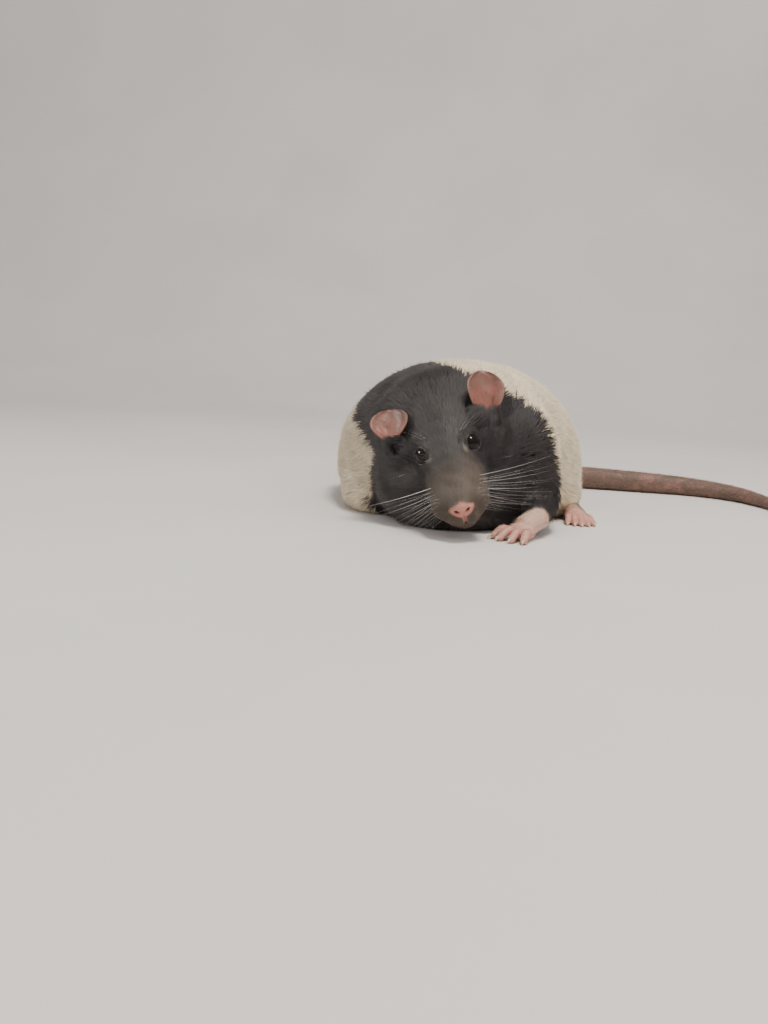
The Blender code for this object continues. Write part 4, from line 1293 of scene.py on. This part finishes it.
def make_tail(material):
    """One tapering tube with low rings of scales."""
    centres, _, beside, up, radii, runs = tail_rings(TAIL_STEP)
    angle = (2 * math.pi * np.arange(TAIL_SIDES) / TAIL_SIDES)[None, :, None]
    phase = (runs / SCALE_RING) % 1.0
    low = 0.085 * groove(np.minimum(phase, 1 - phase), 0.16) * np.clip(radii / 3, 0.4, 1)
    radius = (radii * 0.99 - low + 0.05 * np.sin(runs * 0.9))[:, None, None]
    points = centres[:, None] + (beside[:, None] * np.cos(angle) + up[:, None] * np.sin(angle)) * radius
    points[..., 2] = np.maximum(points[..., 2], FLOOR_GAP)
    made = loft("tail", [[tuple(p) for p in ring] for ring in points])
    mesh = made.data
    layer = mesh.uv_layers.new(name="Scales")
    corners = np.empty(len(mesh.loops), np.int32)
    mesh.loops.foreach_get("vertex_index", corners)
    ring_of, place = corners // TAIL_SIDES, corners % TAIL_SIDES
    starts = np.empty(len(mesh.polygons), np.int32)
    mesh.polygons.foreach_get("loop_start", starts)
    totals = np.empty(len(mesh.polygons), np.int32)
    mesh.polygons.foreach_get("loop_total", totals)
    face = np.repeat(np.arange(len(starts)), totals)
    wraps = np.zeros(len(starts), bool)
    np.logical_or.at(wraps, face, place == TAIL_SIDES - 1)
    turned = np.where(wraps[face] & (place == 0), TAIL_SIDES, place) / TAIL_SIDES
    uv = np.stack([runs[ring_of] / SCALE_RING, turned * SCALES_AROUND], axis=1)
    layer.data.foreach_set("uv", uv.astype(np.float32).ravel())
    mesh.shade_smooth()
    mesh.materials.append(material)
    return finished(made)


def make_tail_bristles(material):
    """Sparse short bristles that lie back along the tail, a few behind every ring of scales."""
    centres, along, beside, up, radii, runs = tail_rings(SCALE_RING)
    draw = np.random.default_rng(BRISTLE_SEED)
    paths, thick = [], []
    for i in range(FIRST_BRISTLE_RING, len(runs) - 2):
        for k in range(BRISTLES_A_RING):
            angle = 2 * math.pi * (k + draw.uniform(0, 0.9)) / BRISTLES_A_RING
            out = beside[i] * math.cos(angle) + up[i] * math.sin(angle)
            root = centres[i] + out * (radii[i] * 0.97)
            if root[2] < 0.6:
                continue
            length = draw.uniform(1.7, 3.1) * (0.55 + 0.45 * min(1.0, radii[i] / 5))
            tilt = draw.uniform(0.10, 0.26)
            mid = root + along[i] * (length * 0.5) + out * (length * tilt)
            end = root + along[i] * length + out * (length * tilt * 1.15)
            paths.append((root, mid, end))
            thick.append((0.055, 0.045, 0.012))
    made = strands("tail_bristles", np.array(paths), np.array(thick), 3)
    made.data.materials.append(material)
    return made


# Whiskers

def make_whiskers(surface, material):
    """Five rows of white whiskers a side, the hind ones longest, and a few over each eye."""
    tree = BVHTree.FromObject(surface, bpy.context.evaluated_depsgraph_get())
    draw = np.random.default_rng(WHISKER_SEED)
    paths, thick = [], []

    def add(local, way, length, base, side, sag):
        """One whisker from the coat's face at a place of the head, curving back and sagging to its tip."""
        spot = tree.find_nearest(head_point(local, side))[0]
        lead = np.array(head_direction(way, side))
        back = np.array(head_direction((0.1, 1.0, -0.05), side))
        t = np.linspace(0, 1, 14)[:, None]
        path = np.array(spot) - lead * 0.8 + lead * (t * length) + back * (t**2 * length * 0.30)
        path[:, 2] -= (t[:, 0] ** 2) * sag
        path[:, 2] = np.maximum(path[:, 2], 0.5)
        paths.append(path)
        thick.append(base * (1 - 0.93 * t[:, 0]))

    for side in (1, -1):
        for row in range(5):
            for column in range(5):
                y = -23.2 + 2.35 * column + draw.uniform(-0.3, 0.3)
                z = -5.6 - 1.75 * row + draw.uniform(-0.2, 0.2)
                forward = -0.34 + 0.16 * column + draw.uniform(-0.05, 0.05)
                fan = -0.06 - 0.13 * row - 0.5 * (forward + 0.1) + draw.uniform(-0.06, 0.06)
                length = 11.0 + 5.2 * column - 1.2 * abs(row - 2) + draw.uniform(-2.5, 1.5)
                bold = 2.4 if column + row == 4 else 1.0
                base = (0.011 + 0.005 * column) * draw.uniform(0.7, 1.25) * bold
                add((7.5, y, z), (1.0, forward, fan), length, base, side, length * 0.06)
        for k in range(2):
            add((6.4 + k * 1.5, 1.0 + k, 6.5), (0.7, 0.6, 0.5 - 0.2 * k), 9 + 2 * k, 0.016, side, 1.5)
        add((14.5, 6.0, -11.0), (0.9, 0.4, -0.3), 9, 0.014, side, 1.0)
    made = strands("whiskers", np.array(paths), np.array(thick), 6)
    made.data.materials.append(material)
    return made


# Materials

class Board:
    """Short ways to add nodes to a node tree."""

    def __init__(self, tree):
        self.tree = tree

    def add(self, kind, **settings):
        """A node of this kind with its settings."""
        node = self.tree.nodes.new(kind)
        for name, value in settings.items():
            setattr(node, name, value)
        return node

    def feed(self, socket, value):
        """A link from another socket, or a plain value; None leaves the socket as it is."""
        if isinstance(value, bpy.types.NodeSocket):
            self.tree.links.new(value, socket)
        elif value is not None:
            socket.default_value = value

    def math(self, operation, a, b=0.0, clamp=False):
        """One sum on two values."""
        node = self.add("ShaderNodeMath", operation=operation, use_clamp=clamp)
        self.feed(node.inputs[0], a)
        self.feed(node.inputs[1], b)
        return node.outputs[0]

    def mix(self, share, a, b, blend="MIX"):
        """The colour between two others."""
        node = self.add("ShaderNodeMix", data_type="RGBA", blend_type=blend, clamp_factor=True)
        self.feed(node.inputs[0], share)
        self.feed(node.inputs[6], a if isinstance(a, bpy.types.NodeSocket) else (*a, 1.0))
        self.feed(node.inputs[7], b if isinstance(b, bpy.types.NodeSocket) else (*b, 1.0))
        return node.outputs[2]

    def span(self, value, low, high, to_low=0.0, to_high=1.0):
        """A soft step from one value to another."""
        node = self.add("ShaderNodeMapRange", interpolation_type="SMOOTHSTEP")
        for socket, given in zip(node.inputs, (value, low, high, to_low, to_high)):
            self.feed(socket, given)
        return node.outputs[0]

    def noise(self, scale, detail=3.0, vector=None, distortion=0.0):
        """Smooth noise, 0 to 1."""
        node = self.add("ShaderNodeTexNoise")
        self.feed(node.inputs["Vector"], vector)
        self.feed(node.inputs["Scale"], scale)
        self.feed(node.inputs["Detail"], detail)
        self.feed(node.inputs["Distortion"], distortion)
        return node.outputs["Fac"]

    def place(self):
        """The place on the object, in metres."""
        return self.add("ShaderNodeTexCoord").outputs["Object"]

    def attribute(self, name):
        """One of the marks kept on the mesh."""
        return self.add("ShaderNodeAttribute", attribute_name=name).outputs["Fac"]

    def bump(self, height, strength, distance):
        """The way that a fine relief faces."""
        node = self.add("ShaderNodeBump")
        self.feed(node.inputs["Strength"], strength)
        self.feed(node.inputs["Distance"], distance)
        self.feed(node.inputs["Height"], height)
        return node.outputs[0]

    def use(self, group, **values):
        """A shared node group, fed by its sockets' names."""
        node = self.add("ShaderNodeGroup", node_tree=group)
        for name, value in values.items():
            self.feed(node.inputs[name.replace("_", " ")], value)
        return node.outputs


def new_group(name, inputs, outputs):
    """An empty node group with its sockets, and the nodes at both ends."""
    tree = bpy.data.node_groups.new(name, "ShaderNodeTree")
    for label, kind in inputs:
        tree.interface.new_socket(name=label, in_out="INPUT", socket_type="NodeSocket" + kind)
    for label, kind in outputs:
        tree.interface.new_socket(name=label, in_out="OUTPUT", socket_type="NodeSocket" + kind)
    board = Board(tree)
    return board, board.add("NodeGroupInput").outputs, board.add("NodeGroupOutput").inputs


def group_hooded_coat():
    """The rat's markings: dark hood, paler muzzle and cream body, with painted shade at the hair's roots and
    a painted sheen on the crown and the hood's tips, for skin and hair alike.
    """
    inputs = [(name, "Float") for name in ("Hood", "Muzzle", "Brow", "Shade", "Along")]
    inputs += [(name, "Color") for name in ("Dark", "Dark Tip", "Grey", "Brown", "Cream", "Cream Root")]
    board, given, out = new_group("hooded_coat", inputs, [("Color", "Color"), ("Roughness", "Float")])
    place = board.place()
    patchy = board.noise(90.0, 3.0, place)
    # Painted shade and sheen along each hair: the roots are darker, as shade deep in the coat, and the
    # hood's tips are paler, as a sheen. Patchy noise varies how far they reach.
    tip = board.span(given["Along"], 0.35, 1.0)
    tip = board.math("MULTIPLY", tip, board.span(patchy, 0.35, 0.65, 0.25, 1.0))
    dark = board.mix(tip, given["Dark"], given["Dark Tip"])
    # Painted sheen: the forehead and crown are turned greyer.
    dark = board.mix(board.math("MULTIPLY", given["Brow"], 0.75), dark, given["Grey"])
    dark = board.mix(board.math("MULTIPLY", given["Muzzle"], 0.9), dark, given["Brown"])
    cream = board.mix(board.span(given["Along"], 0.0, 0.8), given["Cream Root"], given["Cream"])
    cream = board.mix(board.span(patchy, 0.4, 0.75, 0.0, 0.25), cream, given["Cream Root"])
    coat = board.mix(given["Hood"], cream, dark)
    shade = board.span(given["Shade"], 0.0, 1.0, 0.74, 1.18)
    grey = board.add("ShaderNodeCombineColor")
    for socket in grey.inputs[:3]:
        board.feed(socket, shade)
    board.feed(out["Color"], board.mix(1.0, coat, grey.outputs[0], "MULTIPLY"))
    board.feed(out["Roughness"], board.math("SUBTRACT", 0.72, board.math("MULTIPLY", given["Hood"], 0.14)))
    return board.tree


def group_bare_skin():
    """Thin bare skin: blood under it, small blotches, fine creases and pores."""
    inputs = [(name, "Float") for name in ("Scale", "Flush")]
    inputs += [(name, "Color") for name in ("Pale", "Blood", "Dark")]
    board, given, out = new_group("bare_skin", inputs, [("Color", "Color"), ("Height", "Float")])
    place = board.place()
    scale = given["Scale"]
    blotch = board.noise(board.math("MULTIPLY", scale, 0.16), 4.0, place, 0.6)
    creases = board.noise(board.math("MULTIPLY", scale, 0.7), 5.0, place, 1.2)
    pores = board.add("ShaderNodeTexVoronoi", feature="F1")
    board.feed(pores.inputs["Vector"], place)
    board.feed(pores.inputs["Scale"], board.math("MULTIPLY", scale, 1.6))
    flush = board.math("ADD", given["Flush"], board.span(blotch, 0.45, 0.7, 0.0, 0.35), True)
    colour = board.mix(flush, given["Pale"], given["Blood"])
    colour = board.mix(board.span(creases, 0.52, 0.72, 0.0, 0.6), colour, given["Dark"])
    board.feed(out["Color"], colour)
    pits = board.math("MULTIPLY", board.span(pores.outputs["Distance"], 0.0, 0.55), 0.3)
    board.feed(out["Height"], board.math("ADD", board.math("MULTIPLY", creases, 0.7), pits))
    return board.tree


def new_material(name, roughness):
    """A material with its Principled shader, and a board to put nodes on."""
    made = bpy.data.materials.new(name)
    made.use_nodes = True
    board = Board(made.node_tree)
    shader = made.node_tree.nodes["Principled BSDF"]
    shader.inputs["Roughness"].default_value = roughness
    return made, board, shader


def fix(shader, **values):
    """Plain numbers and colours on the shader's own sockets."""
    for name, value in values.items():
        shader.inputs[name.replace("_", " ")].default_value = value


# Grey is a painted sheen on the forehead and crown.
COAT_COLOURS = {
    # Dark Tip is a painted sheen on the hood's hair. Cream Root is painted shade deep in the cream coat,
    # also laid on the skin under it.
    "Dark": (0.020, 0.017, 0.018, 1), "Dark_Tip": (0.052, 0.043, 0.042, 1), "Grey": (0.068, 0.062, 0.058, 1),
    "Brown": (0.105, 0.080, 0.062, 1), "Cream": (0.78, 0.665, 0.48, 1), "Cream_Root": (0.61, 0.50, 0.36, 1),
}
NOSE_COLOURS = {
    "Pale": (0.50, 0.235, 0.185, 1), "Blood": (0.42, 0.150, 0.115, 1), "Dark": (0.30, 0.120, 0.095, 1),
}
FOOT_COLOURS = {
    "Pale": (0.60, 0.36, 0.29, 1), "Blood": (0.50, 0.205, 0.17, 1), "Dark": (0.38, 0.17, 0.14, 1),
}
EAR_COLOURS = {
    "Pale": (0.175, 0.086, 0.063, 1), "Blood": (0.30, 0.120, 0.092, 1), "Dark": (0.095, 0.047, 0.036, 1),
}
TAIL_COLOURS = {
    "Pale": (0.152, 0.092, 0.068, 1), "Blood": (0.280, 0.138, 0.110, 1), "Dark": (0.080, 0.047, 0.036, 1),
}
SEAM_COLOUR = (0.066, 0.039, 0.030)
VEIN_COLOUR = (0.34, 0.070, 0.062)
LID_COLOUR = (0.022, 0.016, 0.015)
# Painted shade: near black, laid into the nostrils and along the mouth's line of the skin.
HOLLOW_SHADE_COLOUR = (0.030, 0.010, 0.009)


def coat_material(name, along_hair):
    """The hair's finish, or with along_hair False the skin's under it, painted with the darker root colour
    as shade under the hair.
    """
    made, board, shader = new_material(name, 0.6)
    marks = {label.title(): board.attribute(label) for label in ("hood", "muzzle", "brow")}
    if along_hair:
        marks.update(Shade=board.attribute("shade"), Along=board.attribute("along"))
    else:
        # Painted shade: the skin under the coat takes the hair's darker root colour, and a darker tone.
        marks.update(Shade=0.35, Along=0.15)
    colour, roughness = board.use(HOODED_COAT, **marks, **COAT_COLOURS)
    place = board.place()
    grain = board.noise(2600.0, 2.0, place)
    board.feed(shader.inputs["Normal"], board.bump(grain, 0.25, 0.0001))
    board.feed(shader.inputs["Roughness"], roughness)
    fix(shader, Sheen_Weight=0.04, Sheen_Roughness=0.45, Specular_IOR_Level=0.30)
    if not along_hair:
        bare = board.use(BARE_SKIN, Scale=1500.0, Flush=0.35, **NOSE_COLOURS)
        colour = board.mix(board.attribute("nose"), colour, bare["Color"])
        colour = board.mix(board.attribute("lid"), colour, LID_COLOUR)
        # Painted shade, near black, in the nostrils and along the mouth's line.
        colour = board.mix(board.attribute("hollow_shade"), colour, HOLLOW_SHADE_COLOUR)
        board.feed(shader.inputs["Normal"], board.bump(bare["Height"], 0.5, 0.00012))
    board.feed(shader.inputs["Base Color"], colour)
    return made


def foot_material():
    """Thin pink skin, pinker towards the toes, that lets a little light in."""
    made, board, shader = new_material("foot_skin", 0.5)
    flush = board.span(board.attribute("toes"), 0.2, 1.0, 0.1, 0.55)
    bare = board.use(BARE_SKIN, Scale=1300.0, Flush=flush, **FOOT_COLOURS)
    board.feed(shader.inputs["Base Color"], bare["Color"])
    board.feed(shader.inputs["Normal"], board.bump(bare["Height"], 0.6, 0.00015))
    fix(shader, Subsurface_Weight=0.12, Subsurface_Scale=0.002, Subsurface_Radius=(1.0, 0.35, 0.2))
    return made


def ear_material():
    """Brown-pink skin with fine branching veins."""
    made, board, shader = new_material("ear_skin", 0.48)
    bare = board.use(BARE_SKIN, Scale=1100.0, Flush=board.attribute("flush"), **EAR_COLOURS)
    veins = board.add("ShaderNodeTexWave", wave_type="BANDS", bands_direction="DIAGONAL", wave_profile="SIN")
    board.feed(veins.inputs["Vector"], board.place())
    for label, value in (("Scale", 62.0), ("Distortion", 9.0), ("Detail", 3.0), ("Detail Scale", 2.2)):
        veins.inputs[label].default_value = value
    line = board.span(veins.outputs["Fac"], 0.93, 1.0, 0.0, 0.5)
    board.feed(shader.inputs["Base Color"], board.mix(line, bare["Color"], VEIN_COLOUR))
    height = board.math("ADD", bare["Height"], board.math("MULTIPLY", line, 0.8))
    board.feed(shader.inputs["Normal"], board.bump(height, 0.55, 0.00016))
    fix(shader, Subsurface_Weight=0.15, Subsurface_Scale=0.0015, Subsurface_Radius=(1.0, 0.3, 0.2))
    fix(shader, Sheen_Weight=0.08)
    return made


def tail_material():
    """Small overlapping scales in rings, brown with pinker patches."""
    made, board, shader = new_material("tail_skin", 0.56)
    flat = board.add("ShaderNodeUVMap", uv_map="Scales").outputs[0]
    turned = board.add("ShaderNodeMapping")
    board.feed(turned.inputs["Vector"], flat)
    turned.inputs["Rotation"].default_value = (0, 0, math.radians(90))
    scales = board.add("ShaderNodeTexBrick", offset=0.5, squash=1.0)
    board.feed(scales.inputs["Vector"], turned.outputs[0])
    for label in ("Scale", "Brick Width", "Row Height"):
        scales.inputs[label].default_value = 1.0
    scales.inputs["Mortar Size"].default_value = 0.10
    scales.inputs["Mortar Smooth"].default_value = 0.8
    seams = scales.outputs["Fac"]
    mottle = board.noise(150.0, 4.0, board.place(), 0.8)
    flush = board.span(mottle, 0.48, 0.66, 0.0, 0.75)
    bare = board.use(BARE_SKIN, Scale=900.0, Flush=flush, **TAIL_COLOURS)
    colour = board.mix(board.math("MULTIPLY", seams, 0.55), bare["Color"], SEAM_COLOUR)
    board.feed(shader.inputs["Base Color"], colour)
    height = board.math("SUBTRACT", board.math("MULTIPLY", bare["Height"], 0.3), seams)
    board.feed(shader.inputs["Normal"], board.bump(height, 0.8, 0.00022))
    return made


def eye_material():
    """Black with a deep brown ring that shows in strong light, under a wet film."""
    made, board, shader = new_material("eye_gloss", 0.06)
    place = board.place()
    streaks = board.noise(900.0, 4.0, place, 1.5)
    colour = board.mix(board.span(streaks, 0.4, 0.7), (0.004, 0.003, 0.003), (0.016, 0.008, 0.006))
    board.feed(shader.inputs["Base Color"], colour)
    board.feed(shader.inputs["Normal"], board.bump(board.noise(260.0, 2.0, place), 0.02, 0.0001))
    fix(shader, Specular_IOR_Level=0.22, Coat_Weight=0.06, Coat_Roughness=0.02)
    return made


def small_material(name, colours, roughness, scale, **values):
    """A finish for the lids, claws, whiskers and bristles: two colours in fine streaks."""
    made, board, shader = new_material(name, roughness)
    streaks = board.noise(scale, 4.0, board.place(), 0.8)
    board.feed(shader.inputs["Base Color"], board.mix(board.span(streaks, 0.35, 0.7), *colours))
    board.feed(shader.inputs["Normal"], board.bump(streaks, 0.3, 0.00006))
    fix(shader, **values)
    return made


# The studio, in metres

CAMERA_AT = (-0.034, -0.425, 0.058)
CAMERA_DROP = math.radians(8.421)
CAMERA_ROLL = math.radians(2.927)
SENSOR_WIDTH = 36.0
FOCAL_PIXELS = 991.4
PHOTO_HEIGHT_PIXELS = 1024
LAMPS_AIM_AT = (0, -0.02, 0.03)

# Each lamp: its name, place, size and power, and whether it shows in glossy things. The glint is there
# for the right eye alone, and lights nothing else.
LAMPS = (
    ("key", (0.17, -0.38, 1.17), 0.34, 15.0, (1.0, 0.95, 0.88), True),
    ("glint", (-1.10, -0.10, 0.54), 0.30, 10.0, (1.0, 0.96, 0.90), True),
    ("fill", (0.75, -0.85, 0.60), 0.90, 6.0, (1.0, 0.93, 0.86), False),
    ("front", (-0.45, -0.95, 0.70), 0.80, 4.0, (1.0, 0.94, 0.88), False),
    ("rim", (0.35, 0.95, 0.90), 0.70, 2.0, (0.95, 0.96, 1.0), False),
)
SKY_COLOUR = (0.90, 0.92, 0.95, 1)
SKY_STRENGTH = 0.42


def make_camera():
    """The camera where the straight edges beside the rat put it, level with its back and close to it."""
    camera = new_object("camera", bpy.data.cameras.new("camera"))
    camera.data.sensor_width = SENSOR_WIDTH
    camera.data.lens = SENSOR_WIDTH * FOCAL_PIXELS / PHOTO_HEIGHT_PIXELS
    camera.data.clip_start = 0.01
    turn = Matrix.Rotation(math.pi / 2 - CAMERA_DROP, 4, "X") @ Matrix.Rotation(CAMERA_ROLL, 4, "Z")
    camera.matrix_world = Matrix.Translation(CAMERA_AT) @ turn
    bpy.context.scene.camera = camera


def make_floor():
    """A pale floor that curves up into a backdrop."""
    half, front, back, bend, top, steps = 8.0, -8.0, 1.1, 0.5, 2.4, 12
    profile = [(front, 0.0), (back - bend, 0.0)]
    for k in range(1, steps + 1):
        angle = math.radians(90 * k / steps)
        profile.append((back - bend + bend * math.sin(angle), bend - bend * math.cos(angle)))
    profile.append((back, top))
    shape = bmesh.new()
    rows = [[shape.verts.new((x, y, z)) for x in (-half, half)] for y, z in profile]
    for near, far in zip(rows, rows[1:]):
        shape.faces.new((near[0], near[1], far[1], far[0]))
    floor = object_of_shape("studio_floor", shape)
    floor.data.shade_smooth()
    made, board, shader = new_material("pale_floor", 0.75)
    place = board.place()
    soft = board.span(board.noise(7.0, 4.0, place), 0.3, 0.7)
    board.feed(shader.inputs["Base Color"], board.mix(soft, (0.66, 0.63, 0.60), (0.70, 0.67, 0.64)))
    board.feed(shader.inputs["Normal"], board.bump(board.noise(900.0, 3.0, place), 0.05, 0.0003))
    floor.data.materials.append(made)


def make_lamps():
    """Soft lamps, and a pale sky."""
    for name, spot, size, power, colour, glints in LAMPS:
        lamp = new_object(name, bpy.data.lights.new(name, "AREA"))
        lamp.data.size = size
        lamp.data.energy = power
        lamp.data.color = colour
        lamp.location = spot
        lamp.visible_glossy = glints
        lamp.visible_diffuse = name != "glint"
        aim = Vector(LAMPS_AIM_AT) - Vector(spot)
        lamp.rotation_mode = "QUATERNION"
        lamp.rotation_quaternion = aim.to_track_quat("-Z", "Y")
    world = bpy.data.worlds.new("studio")
    bpy.context.scene.world = world
    world.use_nodes = True
    sky = world.node_tree.nodes["Background"]
    sky.inputs["Color"].default_value = SKY_COLOUR
    sky.inputs["Strength"].default_value = SKY_STRENGTH


# The rat

BARE_SKIN = group_bare_skin()
HOODED_COAT = group_hooded_coat()

FLESH_NODES = ("head", "neck", "torso", "foreleg_left", "foreleg_right", "hindleg_left", "hindleg_right")
TAIL_NODES = ("tail_root", "tail_near", "tail_far", "tail_tip")


def settle(piece, slot, *nodes):
    """Each piece rides on the one body, and the solids named are hidden."""
    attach(piece, "root")
    if nodes:
        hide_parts(*nodes)


def thin_covered_skin(skin):
    """Fewer, larger faces on the skin where a deep coat covers it."""
    weight_group(skin, "Covered", eased(coat_depth(points_of(skin.data)), *COVERED_DEPTHS))
    fewer = skin.modifiers.new("Fewer", "DECIMATE")
    fewer.vertex_group = "Covered"
    fewer.ratio = COVERED_SKIN_SHARE
    apply_modifiers(skin)
    skin.vertex_groups.clear()


def dress_skin(skin):
    """The skin's marks for its material, with painted shade in the nostrils and along the mouth's line, and
    the material.
    """
    points = points_of(skin.data)
    masks = {"hood": hood_mask, "muzzle": muzzle_mask, "brow": brow_sheen_mask, "nose": nose_mask}
    for label, mask in masks.items():
        mark(skin.data, label, mask(points))
    lids = np.zeros(len(points))
    for side in (1, -1):
        place = lid_place(points, side)
        lids = np.maximum(lids, 1 - eased(place, 1.15, 1.45))
    mark(skin.data, "lid", lids)
    local = in_head(points)
    # Painted shade: the nostrils' holes and the mouth's line are marked to be coloured near black.
    hollow_shade = np.zeros(len(points))
    for side in (1, -1):
        x, z = local[:, 0] * side - NOSTRIL[0], local[:, 2] - NOSTRIL[2]
        hole = np.exp(-((x / 0.8) ** 2 + (z / 0.5) ** 2) ** 1.5) * (local[:, 1] < -24.5)
        hollow_shade = np.maximum(hollow_shade, hole)
    mouth = distance_to_route(local, smooth_rows(MOUTH_LINE, 25))
    mark(skin.data, "hollow_shade", np.maximum(hollow_shade, 0.9 * groove(mouth, 0.4)))
    skin.data.materials.append(coat_material("skin_under_coat", False))
    skin.data.shade_smooth()
    return finished(skin)


def main():
    """Everything, piece by piece; each rides on the body, and the solids that it covers are hidden."""
    make_camera()
    make_floor()
    make_lamps()
    surface = coat_surface()
    skin = make_skin(surface)
    hair = coat_material("coat_hair", True)
    for piece in make_coat(skin, surface, hair):
        settle(piece, "dark_coat" if "face" in piece.name or "crown" in piece.name else "cream_coat")
    for brush in make_ear_brushes(skin, hair):
        settle(brush, "dark_coat")
    thin_covered_skin(skin)
    settle(dress_skin(skin), "cream_coat", *FLESH_NODES)

    gloss = eye_material()
    for name, side in (("eye_left", 1), ("eye_right", -1)):
        settle(make_eyeball(name + "_ball", side, gloss), "eye_gloss", name)
    lid_finish = small_material("lid_skin", ((0.018, 0.012, 0.011), (0.040, 0.026, 0.022)), 0.42, 700.0)
    settle(make_lid_rims(lid_finish), "ear_skin")

    ear_finish = ear_material()
    ears = []
    for name, side, place in EARS:
        ear = make_ear(name + "_leaf", side, place, ear_finish)
        settle(ear, "ear_skin", name)
        ears.append(ear)
    for fuzz in make_ear_fuzz(ears, hair):
        settle(fuzz, "dark_coat")

    claw_finish = small_material("claw_horn", ((0.50, 0.36, 0.27), (0.70, 0.58, 0.47)), 0.32, 800.0)
    feet, claws, foot_hair = make_feet(foot_material(), claw_finish, hair)
    for name, foot in feet:
        settle(foot, "pink_skin", name)
    settle(claws, "pink_skin")
    for piece in foot_hair:
        settle(piece, "cream_coat")

    settle(make_tail(tail_material()), "tail_skin", *TAIL_NODES)
    bristle = small_material("tail_bristle", ((0.20, 0.15, 0.11), (0.42, 0.35, 0.28)), 0.5, 300.0)
    settle(make_tail_bristles(bristle), "tail_skin")
    pale_horn = ((0.80, 0.78, 0.74), (0.90, 0.88, 0.85))
    whisker = small_material("whisker_white", pale_horn, 0.3, 300.0, Transmission_Weight=0.15)
    settle(make_whiskers(surface, whisker), "cream_coat")
    remove([surface])


main()
